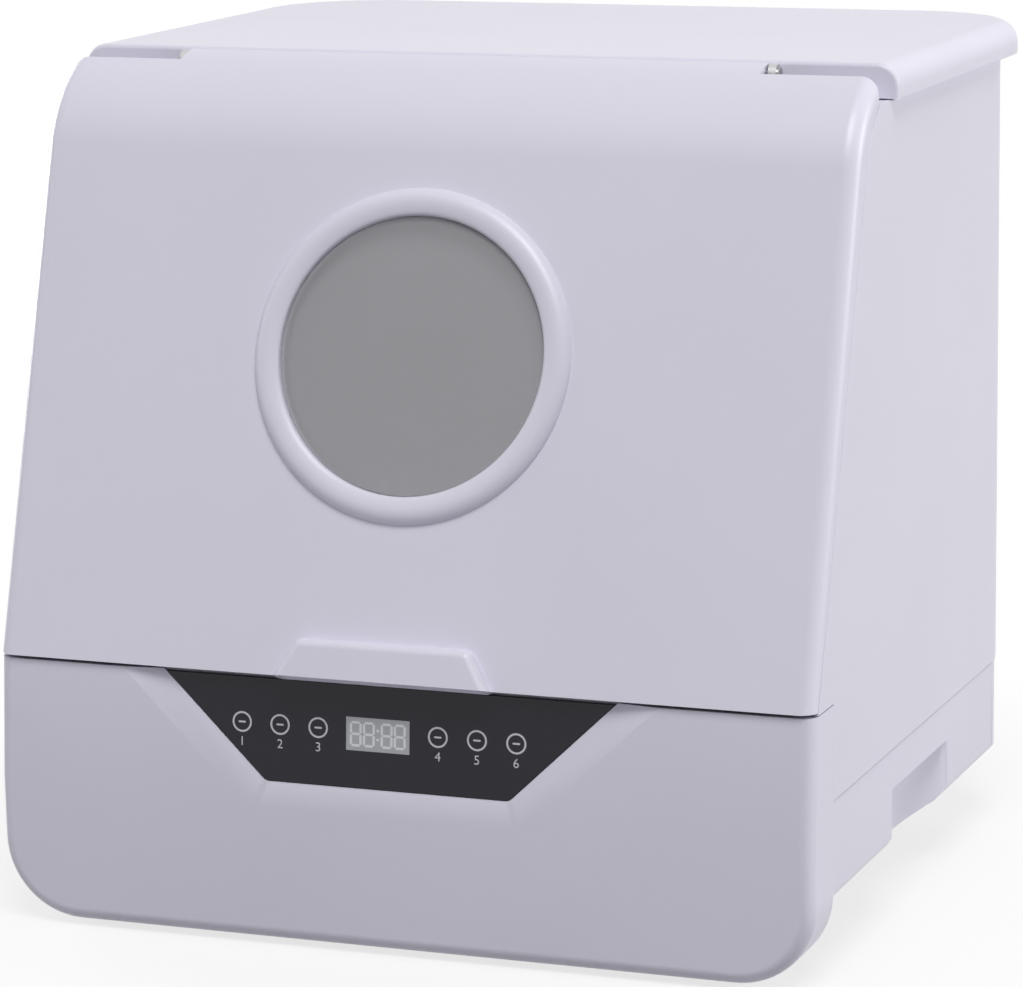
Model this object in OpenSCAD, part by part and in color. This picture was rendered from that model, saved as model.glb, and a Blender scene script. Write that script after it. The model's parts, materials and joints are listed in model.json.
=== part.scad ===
// Countertop dishwasher with a leaning, top-hinged lid, a round window and a
// touch panel. Millimetres, +Z up, the front faces -Y, X runs to the right.
// Inside the modules Y is counted from the front plane and Z from the apron's
// lower edge; in_frame() moves that onto the floor and centres the depth.

/* [Housing] */
// Width over the side panels
body_w = 420; // [405:1:450]
// Depth from the front plane to the back panel
body_d = 384; // [380:1:400]
// Height of the top cover's surface above the apron's lower edge
top_z = 422; // [418:1:440]
// Height of the seam between base and lid
seam_z = 131; // [128:1:134]
// Open width of the seam between base and lid
seam_gap = 2; // [1.5:0.1:3]
// Height of the crease across the base's front
crease_z = 71; // [68:1:74]
// How far the front leans back from the crease up to the seam
front_lean_run = 4; // [2:0.5:6]
// Thickness of the moulded housing walls
wall = 2.6; // [2.2:0.1:3]
// Radius of the apron's lower corners
apron_r = 40; // [30:1:44]
// Depth of the front fascia's side returns
fascia_d = 34; // [32:1:36]
// Radius of the rear upright corners
rear_r = 56; // [40:1:62]
// Height of the joint between side panels and base pan
side_seam_z = 84; // [80:1:88]
// Width of the hairline joints between housing pieces
hairline = 0.5; // [0.3:0.1:0.8]
// Height of the feet below the apron
foot_h = 3; // [2:0.5:5]
// Radius of a rubber foot
foot_r = 11; // [9:1:13]

/* [Top cover] */
// How far the cover stands out past each side
cover_over = 4; // [3:0.5:6]
// Depth of the cover's rear edge from the front plane
cover_d = 414; // [412:1:425]
// Height of the cover's edge
cover_t = 17; // [15:0.5:17]
// Plan radius of the cover's rear corners
cover_r = 67; // [50:1:72]
// Radius along the cover's upper edges
cover_edge_r = 12; // [8:1:14]

/* [Lid] */
// Lean of the lid's front from upright, in degrees
lid_lean = 16.1; // [15:0.1:17]
// Distance of the lid's lower edge behind the front plane
lid_y0 = 2; // [1:0.5:3]
// Depth of the lid's cheek at its lower edge
cheek_foot = 7; // [6.5:0.5:8]
// Lean of the joint between lid and side panel, in degrees
cheek_lean = 17.8; // [17.4:0.1:18.2]
// Radius of the bullnose at the top of the lid
nose_r = 60; // [54:1:64]
// Radius of the lid's outer upright edges
lid_edge_r = 8; // [6:1:10]
// Half width of the hinge tongue
tongue_half = 151; // [130:1:160]
// Radius of the rolled bead that holds the hinge
bead_r = 5; // [4.5:0.5:5.5]
// Depth of the hinge line behind the front plane
hinge_y = 122; // [120:1:124]
// Depth at which the lid ends beside the tongue
notch_y = 108; // [107:1:110]

/* [Window and handle] */
// Outer diameter of the window ring
ring_d = 163; // [150:1:170]
// Clear diameter inside the window ring
window_d = 136; // [120:1:138]
// Height of the window's centre, as a share of the flat part of the lid's front
window_share = 0.616; // [0.6:0.002:0.63]
// Sideways place of the line that the window, handle and touch panel are centred on
front_x = -4.5; // [-6:0.5:0]
// How far the window ring stands proud of the lid
ring_proud = 5; // [3:0.5:6]
// Thickness of the window pane
pane_t = 3; // [2:0.5:3]
// Width of the handle along its top
handle_top_w = 89; // [80:1:94]
// Width of the handle along its foot
handle_foot_w = 111; // [104:1:118]
// Height of the handle along the lid's front
handle_h = 19; // [17:0.5:22]
// How far the handle stands proud of the lid
handle_proud = 7; // [6:0.5:8]
// Thickness of the handle's walls
handle_wall = 2.2; // [2:0.1:2.4]

/* [Control panel] */
// Width of the glass along its top edge
glass_top_w = 232; // [220:1:240]
// Width of the glass along its lower edge
glass_low_w = 126; // [120:1:140]
// Height of the glass
glass_h = 50.5; // [46:0.5:52]
// Radius of the glass's lower corners
glass_r = 5; // [3:1:7]
// Thickness of the glass
glass_t = 2.5; // [2:0.5:3]
// How deep the glass lies below the fascia
glass_sunk = 3; // [2:0.5:3.5]
// Width of the bevel round the glass
bevel_w = 15; // [10:1:16]
// Width of the display window
display_w = 33; // [28:1:36]
// Height of the display window
display_h = 16.5; // [14:0.5:18]
// Sideways place of the display's centre
display_x = -9; // [-12:0.5:-4]
// Height of the display's centre above the glass's lower edge
display_up = 26.5; // [24:0.5:28]
// Distance between neighbouring touch keys
key_pitch = 20; // [18:0.5:21]
// Distance from the display's centre to the nearest touch key
key_start = 31; // [30:0.5:33]

/* [Wash tub] */
// Space between the tub and each side panel's outer face
tub_gap = 26; // [24:1:30]
// Wall thickness of the tub
tub_wall = 2; // [1.6:0.1:2.4]
// Height of the tub's floor above the apron's lower edge
tub_floor_z = 96; // [94:0.5:98]
// Height of the case's top above the tub's roof
tub_roof_gap = 30; // [29:0.5:34]
// Depth of the tub's front wall
tub_front_y = 38; // [37:1:42]
// Room between the tub's back and the case's back
tub_back_gap = 34; // [32:1:36]
// Radius of the tub's long edges
tub_r = 26; // [16:1:30]
// Thickness of the tub's slanted front rim
rim_t = 3; // [2.4:0.1:3.4]
// Thickness of the seal between rim and lid
seal_t = 4.6; // [4:0.1:5]

/* [Rack] */
// Radius of the rack's main wires
wire_r = 1.6; // [1.4:0.1:1.8]
// Height of the lowest rack wires above the apron's lower edge
rack_z = 145; // [144.5:0.5:146]
// Height of the rack's rim above its lowest wires
rack_h = 40; // [34:1:46]
// Height of the plate tines above the lowest wires
tine_h = 60; // [50:1:70]
// Distance between neighbouring wires of the rack's floor
wire_pitch = 28; // [26:1:30]

/* [Spray arm and sump] */
// Length of the spray arm from tip to tip
arm_l = 288; // [240:1:292]
// Height of the spray arm
arm_h = 11; // [9:0.5:12]
// Radius of the spray hub that the arm turns on
hub_r = 8; // [7:0.5:9]
// Running clearance of shafts, pins and the spray arm
run_gap = 0.06; // [0.04:0.01:0.1]
// Radius of the sump
sump_r = 50; // [46:1:54]

/* [Connections] */
// Radius over the thread of the water inlet port
inlet_r = 13.2; // [13:0.1:13.4]
// Length of the water inlet port
inlet_l = 13; // [11:0.5:15]
// Radius of the drain spigot
drain_r = 9; // [8:0.5:10]
// Length of the drain spigot outside the case
drain_l = 20; // [16:1:24]
// Bore radius of the cable gland
gland_bore_r = 3.7; // [3:0.1:4.2]

/* [Hidden] */
$fn = 96;

// Colours as the photograph shows them
shell_white = [0.88, 0.87, 0.91];
shell_shade = [0.80, 0.79, 0.84];
glass_black = [0.17, 0.16, 0.20];
lens_grey = [0.78, 0.79, 0.80];
smoke = [0.55, 0.55, 0.57, 0.6];
tub_grey = [0.72, 0.72, 0.74];
rubber_grey = [0.35, 0.35, 0.37];
steel = [0.75, 0.76, 0.78];
board_green = [0.12, 0.38, 0.24];
dark_plastic = [0.2, 0.2, 0.22];

// Frame: half sizes, the front-most point and the middle of the depth
eps = 0.02;
half_w = body_w / 2;
front_lean = atan(front_lean_run / (seam_z - crease_z));
apron_lean_run = 1.5;
lid_z0 = seam_z + seam_gap;
lid_cos = cos(lid_lean);
lid_sin = sin(lid_lean);
front_most_y = lid_y0 - handle_proud * lid_cos;
mid_y = (cover_d + front_most_y) / 2;

// Lid outline: the lean line runs up to a tangent arc of the bullnose
nose_run = (top_z - nose_r - lid_z0 + nose_r * lid_sin) / lid_cos;
nose_y = lid_y0 + nose_run * lid_sin + nose_r * lid_cos;
window_up = window_share * nose_run;
nose_z = top_z - nose_r;
hinge_z = nose_z + sqrt(pow(nose_r, 2) - pow(nose_y - hinge_y, 2)) - bead_r - 0.1;
cover_y = hinge_y + bead_r + 1;
cover_low_z = top_z - cover_t;

// Joint between the lid's cheek and the side panel, lower edge to cover
cheek_top_z = cover_low_z - 27;
function cheek_y(z) = lid_y0 + cheek_foot + (z - seam_z) * tan(cheek_lean);
joint_half = 0.4;

// Window, handle and touch panel
ring_r = ring_d / 2;
window_r = window_d / 2;
spigot_w = 1.8;
hole_r = window_r + spigot_w + 0.2;
gasket_t = 1.6;
gasket_w = 8;
pane_r = hole_r + gasket_w;
clamp_r = pane_r + 7;
clamp_t = 2;
liner_t = 2;
glass_top_z = seam_z - 0.6;
glass_low_up = (glass_top_z - crease_z) / cos(front_lean) - glass_h;

// Tub, rim and rack
tub_back_y = body_d - tub_back_gap;
tub_roof_z = top_z - tub_roof_gap;
tub_half = half_w - tub_gap;
inner_half = tub_half - tub_wall;
rim_back = 0.4 + seal_t;
rim_half = half_w - wall - 1.4;
lip_z = seam_z + 10;
mouth_top_z = cheek_top_z - 7;
rack_front_y = 52;
rack_back_y = tub_back_y - 18;
rack_half = inner_half - 14;
rail_top_z = rack_z - wire_r - 0.4;
rail_w = 10;
rail_t = 4;
tub_mid_y = (tub_front_y + tub_back_y) / 2;
arm_z = tub_floor_z + 21;

// Base pan: flat floor, sloping flanks up to the wall's lower edge
pan_floor_z = 4;
pan_floor_half = half_w - 60;
pan_edge_z = 33;
base_inset = 0.5;
pan_back_y = body_d - base_inset;
grip_r = 90;
grip_y = 188;
grip_deep = 17;
grip_top_z = 64;

module in_frame() {
  translate([0, -mid_y, foot_h]) children();
}

// Extrudes a (Y, Z) outline along X, centred on X = x
module side_extrude(w, x = 0) {
  translate([x, 0, 0]) rotate([90, 0, 90]) linear_extrude(w, center = true) children();
}

// Extrudes an (X, Z) outline along Y from y0 to y1
module front_extrude(y0, y1) {
  translate([0, y1, 0]) rotate([90, 0, 0]) linear_extrude(y1 - y0) children();
}

// Local frame on the lid's front: X right, Z up the slope, Y into the lid
module on_lid() {
  translate([0, lid_y0, lid_z0]) rotate([-lid_lean, 0, 0]) children();
}

// Local frame on the upper part of the base's front
module on_front() {
  translate([0, 0, crease_z]) rotate([-front_lean, 0, 0]) children();
}

module mirror_pair() {
  children();
  mirror([1, 0, 0]) children();
}

module along_x(r, l) {
  rotate([0, 90, 0]) cylinder(r = r, h = l);
}

module along_y(r, l) {
  rotate([-90, 0, 0]) cylinder(r = r, h = l);
}

// ---------------------------------------------------------------- base pan

module pan_side(t) {
  offset(delta = -t) polygon([
    [fascia_d + hairline / 2 - t, pan_floor_z], [pan_back_y - 62, pan_floor_z],
    [pan_back_y - 24, 30], [pan_back_y - 7, 40], [pan_back_y, 54],
    [pan_back_y, side_seam_z + t], [fascia_d + hairline / 2 - t, side_seam_z + t]
  ]);
}

module pan_front(t) {
  outer = half_w - base_inset;
  offset(delta = -t) polygon([
    [-outer, side_seam_z + t], [-outer, pan_edge_z + 6], [-outer + 5, pan_edge_z],
    [-pan_floor_half, pan_floor_z], [pan_floor_half, pan_floor_z],
    [outer - 5, pan_edge_z], [outer, pan_edge_z + 6], [outer, side_seam_z + t]
  ]);
}

// Plan outline of the housing with round rear corners
module housing_plan(half, back, r, front) {
  translate([-half, front]) square([2 * half, back - r - front]);
  translate([-half + r, front]) square([2 * (half - r), back - front]);
  for (side = [-1, 1]) translate([side * (half - r), back - r]) circle(r);
}

module pan_envelope(t) {
  intersection() {
    side_extrude(body_w) pan_side(t);
    front_extrude(0, body_d + 10) pan_front(t);
    translate([0, 0, -10])
      linear_extrude(side_seam_z + 30)
        housing_plan(half_w - base_inset - t, pan_back_y - t, rear_r - t, 0);
  }
}

// Scoop low on each side, a hand's hold when the machine is carried
module grip_cut(t) {
  mirror_pair()
    translate([half_w + grip_r - grip_deep, grip_y, -20]) cylinder(r = grip_r + t, h = grip_top_z + 20 + t);
}

// Posts that carry the tub and the two slotted guides of the main board
post_x = 120;
post_ys = [88, 290];
board_x = half_w - 66;
board_y0 = pan_back_y - 147.5;
board_l = 90;
module pan_posts() {
  for (x = [-post_x, post_x], y = post_ys) translate([x, y, pan_floor_z + 1])
    cylinder(r = 7, h = tub_floor_z - tub_wall - 0.2 - pan_floor_z - 1);
  for (y = [board_y0 - 6, board_y0 + board_l - 4]) translate([board_x - 4, y, pan_floor_z + 1])
    cube([9, 10, 56]);
}

module base_pan() {
  color(shell_white) in_frame() difference() {
    union() {
      difference() {
        pan_envelope(0);
        difference() {
          pan_envelope(wall);
          grip_cut(wall);
        }
        grip_cut(0);
      }
      pan_posts();
    }
    translate([board_x - 0.2, board_y0 - 0.2, pan_floor_z + wall + 4]) cube([2, board_l + 0.4, 90]);
    foot_places() translate([0, 0, pan_floor_z - 1]) cylinder(r = 4, h = wall + 2);
    translate([inlet_x, pan_back_y - wall - 2, port_z]) along_y(inlet_r + 0.3, wall + 4);
    translate([0, pan_back_y - wall - 2, port_z]) along_y(drain_r + 0.3, wall + 4);
    translate([gland_x, pan_back_y - wall - 2, port_z]) along_y(gland_r + 0.2, wall + 4);
  }
}

foot_x = pan_floor_half - 16;
foot_front_y = fascia_d + 26;
foot_back_y = pan_back_y - 84;
module foot_places() {
  for (x = [-foot_x, foot_x], y = [foot_front_y, foot_back_y]) translate([x, y, 0]) children();
}

module feet() {
  color(rubber_grey) in_frame() foot_places() {
    difference() {
      union() {
        translate([0, 0, -foot_h]) cylinder(r = foot_r, h = foot_h + pan_floor_z);
        translate([0, 0, pan_floor_z]) cylinder(r = 4 - 0.1, h = wall);
      }
      translate([0, 0, -foot_h - 1]) cylinder(r = foot_r - 5, h = 2);
    }
  }
}

// ------------------------------------------------------------ front fascia

module fascia_side(t) {
  offset(delta = -t) polygon([
    [apron_lean_run, 0], [0, crease_z], [front_lean_run, seam_z],
    [fascia_d + t, seam_z], [fascia_d + t, 0]
  ]);
}

module fascia_front(t) {
  r = apron_r - t;
  half = half_w - t;
  translate([-half, apron_r]) square([2 * half, seam_z - apron_r + 5]);
  translate([-half + r, t]) square([2 * (half - r), seam_z - t + 5]);
  for (side = [-1, 1]) translate([side * (half - r), t + r]) circle(r);
}

module fascia_envelope(t) {
  intersection() {
    side_extrude(body_w + 2) fascia_side(t);
    front_extrude(-5, fascia_d) fascia_front(t);
    translate([0, 0, -5]) linear_extrude(seam_z + 10)
      mirror([0, 1]) housing_plan(half_w - t, -t, lid_edge_r - t, -fascia_d);
  }
}

// Glass outline in the front's local frame, grown by g on its three free sides
module glass_outline(g) {
  slope = (glass_top_w - glass_low_w) / 2 / glass_h;
  side_g = g * sqrt(1 + pow(slope, 2));
  translate([front_x, 0]) offset(r = glass_r, $fn = 24) offset(delta = -glass_r) polygon([
    [-glass_low_w / 2 - side_g + g * slope, -g],
    [glass_low_w / 2 + side_g - g * slope, -g],
    [glass_top_w / 2 + side_g + glass_r * slope, glass_h + glass_r],
    [-glass_top_w / 2 - side_g - glass_r * slope, glass_h + glass_r]
  ]);
}

// A slab of that outline from depth y0 to y1, cut off level with the glass's top
module glass_slab(g, y0, y1, top) {
  on_front() translate([0, 0, glass_low_up]) front_extrude(y0, y1)
    intersection() {
      glass_outline(g);
      translate([-body_w, -body_w]) square([2 * body_w, body_w + top]);
    }
}

// The sloping border cut round the glass, from the front face down to its level
bevel_step = 0.9;
module bevel_cut() {
  hull() {
    glass_slab(bevel_step, glass_sunk - eps, glass_sunk, glass_h + 5);
    glass_slab(bevel_w, -0.5, 0, glass_h + 5);
  }
}

module front_fascia() {
  pocket_y = glass_sunk + glass_t + 0.1;
  color(shell_white) in_frame() difference() {
    union() {
      difference() {
        fascia_envelope(0);
        fascia_envelope(wall);
      }
      intersection() {
        fascia_envelope(0);
        glass_slab(bevel_w + 2, 0, pocket_y + wall, glass_h + 5);
      }
      on_front() board_hole_places() translate([0, pocket_y + 1, 0]) along_y(4, board_y - pocket_y - 1.1);
    }
    bevel_cut();
    glass_slab(0.2, 0, pocket_y, glass_h + 6);
    on_front() translate([display_x - key_reach - 4.4, 0, glass_low_up + display_up - 10.5])
      cube([2 * key_reach + 8.8, 30, 21]);
  }
}

module control_glass() {
  color(glass_black) in_frame() difference() {
    glass_slab(0, glass_sunk, glass_sunk + glass_t, glass_h);
    on_front() translate([display_x - display_w / 2, glass_sunk - 1, glass_low_up + display_up - display_h / 2])
      cube([display_w, lens_t + 1, display_h]);
  }
}

lens_t = 1;
module display_lens() {
  fit = 0.1;
  color(lens_grey) in_frame() on_front()
    translate([display_x - display_w / 2 + fit, glass_sunk, glass_low_up + display_up - display_h / 2 + fit])
      cube([display_w - 2 * fit, lens_t, display_h - 2 * fit]);
}

// Six touch keys, three on each side of the display
key_reach = key_start + 2 * key_pitch;
key_xs = [for (side = [-1, 1], i = [0:2]) display_x + side * (key_start + i * key_pitch)];
glass_back = glass_sunk + glass_t;
board_y = glass_back + 11;
board_t = 1.6;

module display_module() {
  color(dark_plastic) in_frame() on_front()
    translate([display_x - display_w / 2 - 2, glass_back + 0.3, glass_low_up + display_up - display_h / 2 - 1])
      cube([display_w + 4, board_y - glass_back - 0.3, display_h + 2]);
}

module key_springs() {
  spring_r = 3.5;
  color(steel) in_frame() on_front() for (x = key_xs)
    translate([x, glass_back + 0.3, glass_low_up + display_up + 1]) difference() {
      along_y(spring_r, board_y - glass_back - 0.3);
      translate([0, -1, 0]) along_y(spring_r - 0.8, board_y);
    }
}

board_low = glass_low_up + 4;
board_h = 42;
module board_hole_places() {
  for (x = [display_x - key_reach - 9, display_x + key_reach + 9], z = [board_low + 5, board_low + board_h - 5])
    translate([x, 0, z]) children();
}

module control_board() {
  color(board_green) in_frame() on_front() difference() {
    translate([display_x - key_reach - 14, board_y, board_low]) cube([2 * key_reach + 28, board_t, board_h]);
    board_hole_places() translate([0, board_y - 1, 0]) along_y(1.7, board_t + 2);
  }
}

// ------------------------------------------------------------- side panels

// Region behind the joint between lid and panel, d behind its middle line
module behind_joint(d) {
  polygon([
    [cheek_y(seam_z - 60) + d, seam_z - 60], [cheek_y(cheek_top_z) + d, cheek_top_z],
    [cheek_y(cheek_top_z) + 8 + d, cheek_top_z + 15], [notch_y + 2 + d, cover_low_z],
    [body_d + 20, cover_low_z], [body_d + 20, seam_z - 60]
  ]);
}

module panel_side() {
  low = side_seam_z + hairline;
  intersection() {
    translate([0, low]) square([body_d + 20, cover_low_z - hairline - low]);
    union() {
      intersection() {
        behind_joint(joint_half);
        translate([0, seam_z + hairline]) square([body_d + 20, top_z]);
      }
      translate([fascia_d + hairline / 2, low]) square([body_d, seam_z - low + 20]);
    }
  }
}

module panel_shell(t) {
  translate([0, 0, side_seam_z]) linear_extrude(top_z)
    housing_plan(half_w - t, body_d - t, rear_r - t, 0);
}

back_half = half_w - rear_r - 0.5;
module side_panel(side) {
  in_frame() {
    side_skin(side);
    translate([side * (tongue_half + 6.5 + half_w - wall + 0.5) / 2, (notch_y + 3 + cover_y - 0.5) / 2, shelf_z])
      cube([half_w - wall + 0.5 - tongue_half - 6.5, cover_y - 0.5 - notch_y - 3, wall], center = true);
  }
}

// The skin of one side, with its share of the rear wall
shelf_z = cover_low_z - hairline - wall / 2;
module side_skin(side) {
  intersection() {
    difference() {
      panel_shell(0);
      translate([0, 0, -1]) panel_shell(wall);
    }
    side_extrude(body_w + 2) panel_side();
    translate([side * (half_w + back_half + hairline / 2) / 2, body_d / 2, top_z / 2])
      cube([half_w - back_half - hairline / 2, body_d + 40, 2 * top_z], center = true);
  }
}

module side_panel_left() {
  color(shell_white) side_panel(-1);
}

module side_panel_right() {
  color(shell_white) side_panel(1);
}

// Back panel: vent slots for the blower and screw holes round its edge
vent_z = 318;
vent_x = 60;
module back_screw_places() {
  for (x = [-back_half + 10, back_half - 10], z = [side_seam_z + 14, vent_z - 80, cover_low_z - 14])
    translate([x, body_d, z]) children();
}

module back_panel() {
  low = side_seam_z + hairline;
  color(shell_white) in_frame() difference() {
    translate([-back_half, body_d - wall, low])
      cube([2 * back_half, wall, cover_low_z - hairline - low]);
    for (i = [-4:4]) translate([vent_x - 32, body_d - wall - 1, vent_z + i * 8 - 2]) cube([64, wall + 2, 4]);
    back_screw_places() translate([0, -wall - 1, 0]) along_y(1.8, wall + 2);
  }
}

module case_screws() {
  color(steel) in_frame() back_screw_places() {
    translate([0, 0, 0]) along_y(3.4, 1.6);
    translate([0, -wall - 3, 0]) along_y(1.7, wall + 3);
  }
}

// --------------------------------------------------------------- top cover

module cover_plan(t) {
  half = half_w + cover_over - t;
  r = cover_r - t;
  translate([0, 0]) housing_plan(half, cover_d - t, r, cover_y + t);
}

module cover_front(t) {
  half = half_w + cover_over - t;
  r = cover_edge_r - t;
  translate([-half, cover_low_z - t]) square([2 * half, cover_t - cover_edge_r + t]);
  translate([-half + r, cover_low_z - t]) square([2 * (half - r), cover_t]);
  for (side = [-1, 1]) translate([side * (half - r), top_z - t - r]) circle(r);
}

module cover_side(t) {
  r = cover_edge_r - t;
  front_r = 4 - t / 2;
  low = cover_low_z - t;
  translate([cover_y + t, low]) square([cover_d - cover_y - 2 * t, top_z - cover_edge_r - low]);
  translate([cover_y + t + front_r, low]) square([cover_d - cover_y - 2 * t - front_r - r, cover_t]);
  translate([cover_d - t - r, top_z - t - r]) circle(r);
  translate([cover_y + t, low]) square([20, top_z - t - front_r - low]);
  translate([cover_y + t + front_r, top_z - t - front_r]) circle(front_r);
}

module cover_envelope(t) {
  intersection() {
    side_extrude(body_w + 40) cover_side(t);
    front_extrude(0, cover_d + 20) cover_front(t);
    translate([0, 0, cover_low_z - t]) linear_extrude(cover_t + 1) cover_plan(t);
  }
}

module top_cover() {
  color(shell_white) in_frame() difference() {
    cover_envelope(0);
    intersection() {
      cover_envelope(wall);
      translate([-body_w, 0, cover_low_z + wall]) cube([2 * body_w, 2 * body_w, cover_t]);
    }
    translate([-half_w + 10, cover_y + wall + 3, cover_low_z - 1])
      cube([2 * half_w - 20, body_d - 14 - cover_y - wall - 3, wall + 2]);
  }
}

// --------------------------------------------------------------------- lid

// Side outline of the lid's envelope, inset by t
module lid_side(t) {
  foot_run = t * (1 + lid_sin) / lid_cos;
  foot_y = lid_y0 + t * lid_cos + foot_run * lid_sin;
  tangent = [lid_y0 + nose_run * lid_sin + t * lid_cos, lid_z0 + nose_run * lid_cos - t * lid_sin];
  polygon([[foot_y, lid_z0 + t], tangent, [nose_y, tangent[1]], [nose_y, lid_z0 + t]]);
  intersection() {
    translate([nose_y, nose_z]) circle(nose_r - t);
    translate([0, nose_z + 2]) square([nose_y, nose_r]);
  }
}

// The same outline with flats for the bullnose, for the hidden liner
module liner_side(t) {
  foot_y = lid_y0 + t / lid_cos + t * lid_sin / lid_cos;
  step = (90 - lid_lean) / 8;
  bend = [for (i = [0:8]) [
    nose_y - (nose_r - t) * cos(lid_lean + i * step), nose_z + (nose_r - t) * sin(lid_lean + i * step)
  ]];
  polygon(concat([[foot_y, lid_z0 + t]], bend, [[nose_y, lid_z0 + t]]));
}

module lid_front(t) {
  r = cover_edge_r - t;
  half = half_w - t;
  translate([-half, seam_z - 10]) square([2 * half, top_z - t - r - seam_z + 10]);
  translate([-half + r, seam_z - 10]) square([2 * (half - r), top_z - t - seam_z + 10]);
  for (side = [-1, 1]) translate([side * (half - r), top_z - t - r]) circle(r);
}

module lid_plan(t) {
  r = lid_edge_r - t;
  half = half_w - t;
  translate([-half, t + r]) square([2 * half, 220]);
  translate([-half + r, t]) square([2 * (half - r), 220]);
  for (side = [-1, 1]) translate([side * (half - r), t + r]) circle(r);
}

module lid_envelope(t) {
  intersection() {
    side_extrude(body_w + 2) lid_side(t);
    front_extrude(-20, cover_y) lid_front(t);
    on_lid() translate([0, 0, -60]) linear_extrude(420) lid_plan(t);
  }
}

// Region in front of the joint, d in front of its middle line; above the
// joint it ends at the notch
module before_joint(d) {
  polygon([
    [-80, seam_z - 40], [cheek_y(seam_z - 40) - d, seam_z - 40], [cheek_y(cheek_top_z) - d, cheek_top_z],
    [cheek_y(cheek_top_z) + 8 - d, cheek_top_z + 15], [notch_y - d, cover_low_z - 1],
    [notch_y - d, top_z + 20], [-80, top_z + 20]
  ]);
}

module window_hole(r, y0, y1) {
  on_lid() translate([front_x, y0, window_up]) along_y(r, y1 - y0);
}

// Front outline of the handle, inset by t and carried straight down to low
module handle_outline(t, low = 0) {
  slope = (handle_foot_w - handle_top_w) / 2 / handle_h;
  side_t = t * sqrt(1 + pow(slope, 2));
  foot = handle_foot_w / 2 - side_t;
  head = handle_top_w / 2 - side_t + t * slope;
  translate([front_x, 0]) polygon([[-foot, low], [foot, low], [foot, 0], [head, handle_h - t], [-head, handle_h - t], [-foot, 0]]);
}

handle_back = 4.2;
module lid_outer() {
  notch_w = half_w - tongue_half + 5;
  bore_l = 16;
  color(shell_white) in_frame() difference() {
    union() {
      difference() {
        lid_envelope(0);
        lid_envelope(wall);
        side_extrude(body_w + 4) difference() {
          translate([0, seam_z - 10]) square([400, cover_low_z - seam_z + 10]);
          before_joint(joint_half);
        }
        translate([0, hinge_y + 200, 0]) cube([body_w, 400, 2 * top_z], center = true);
        mirror_pair() translate([tongue_half, notch_y, seam_z]) cube([notch_w, 60, top_z]);
      }
      translate([-tongue_half, hinge_y, hinge_z]) along_x(bead_r, 2 * tongue_half);
      for (a = [30:60:330]) clamp_screw_place(a) translate([0, -gasket_t - pane_t - 0.5, 0])
        along_y(3.2, gasket_t + pane_t + 0.4);
    }
    for (a = [30:60:330]) clamp_screw_place(a) translate([0, -3.8, 0]) along_y(1.12, 5);
    window_hole(hole_r, -10, 20);
    on_lid() front_extrude(-1, handle_back + 0.2) handle_outline(handle_wall + 0.6, -10);
    mirror_pair() translate([tongue_half - bore_l, hinge_y, hinge_z]) along_x(bush_r + run_gap / 2, bore_l + 1);
  }
}

module lid_liner() {
  color(shell_shade) in_frame() difference() {
    intersection() {
      side_extrude(body_w + 2) liner_side(wall + 0.2);
      front_extrude(-20, cover_y) lid_front(wall + 0.2);
      on_lid() translate([0, 0, -60]) linear_extrude(420) lid_plan(wall + 0.2);
      side_extrude(body_w) difference() {
        before_joint(joint_half);
        before_joint(joint_half + liner_t);
      }
    }
    window_hole(clamp_r + 0.6, -10, 60);
  }
}

module lid_handle() {
  color(shell_white) in_frame() difference() {
    union() {
      on_lid() front_extrude(-handle_proud, -0.05) handle_outline(0);
      on_lid() front_extrude(-0.06, handle_back) handle_outline(handle_wall + 0.8);
    }
    on_lid() front_extrude(-handle_proud + handle_wall, handle_back - 1.2) handle_outline(2 * handle_wall + 0.8, -5);
    translate([0, 0, lid_z0 - 10]) cube([body_w, 60, 20], center = true);
  }
}

// Ring of soft round section, clipped into the lid by its spigot
module window_ring() {
  color(shell_white) in_frame() on_lid() translate([front_x, 0, window_up]) rotate([90, 0, 0])
    rotate_extrude() difference() {
      union() {
        translate([window_r, 0]) square([ring_r - window_r, 1.2]);
        intersection() {
          translate([window_r, 0]) square([ring_r - window_r, ring_proud]);
          translate([(ring_r + window_r) / 2, ring_proud - dome_r]) circle(dome_r);
        }
        translate([window_r, -wall - gasket_t + 0.2]) square([spigot_w, wall + gasket_t]);
      }
    }
}
dome_half = (ring_r - window_r) / 2;
dome_r = (pow(dome_half, 2) + pow(ring_proud - 1.2, 2)) / (2 * (ring_proud - 1.2));

// A flat ring on the window's axis, from depth y0 to y1 in the lid
module window_disc(outer, inner, y0, y1) {
  on_lid() translate([front_x, y0, window_up]) difference() {
    along_y(outer, y1 - y0);
    if (inner > 0) translate([0, -1, 0]) along_y(inner, y1 - y0 + 2);
  }
}

module window_gasket() {
  color(rubber_grey) in_frame() window_disc(pane_r, hole_r + 0.2, wall, wall + gasket_t);
}

module window_pane() {
  color(smoke) in_frame() window_disc(pane_r, 0, wall + gasket_t, wall + gasket_t + pane_t);
}

module window_clamp() {
  pane_back = wall + gasket_t + pane_t;
  color(shell_shade) in_frame() difference() {
    window_disc(clamp_r, window_r + 2, pane_back, pane_back + clamp_t);
    for (a = [30:60:330]) clamp_screw_place(a) translate([0, -1, 0]) along_y(1.3, 20);
  }
}

module clamp_screw_place(a) {
  on_lid() translate([front_x, wall + gasket_t + pane_t, window_up]) rotate([0, a, 0])
    translate([pane_r + 3.8, 0, 0]) children();
}

magnet_x = half_w - 13;
magnet_up = 9;
module lid_magnets() {
  color(steel) in_frame() for (x = [-magnet_x, magnet_x]) on_lid()
    translate([x, wall + 0.1, magnet_up]) along_y(4, 1.4);
}

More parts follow.
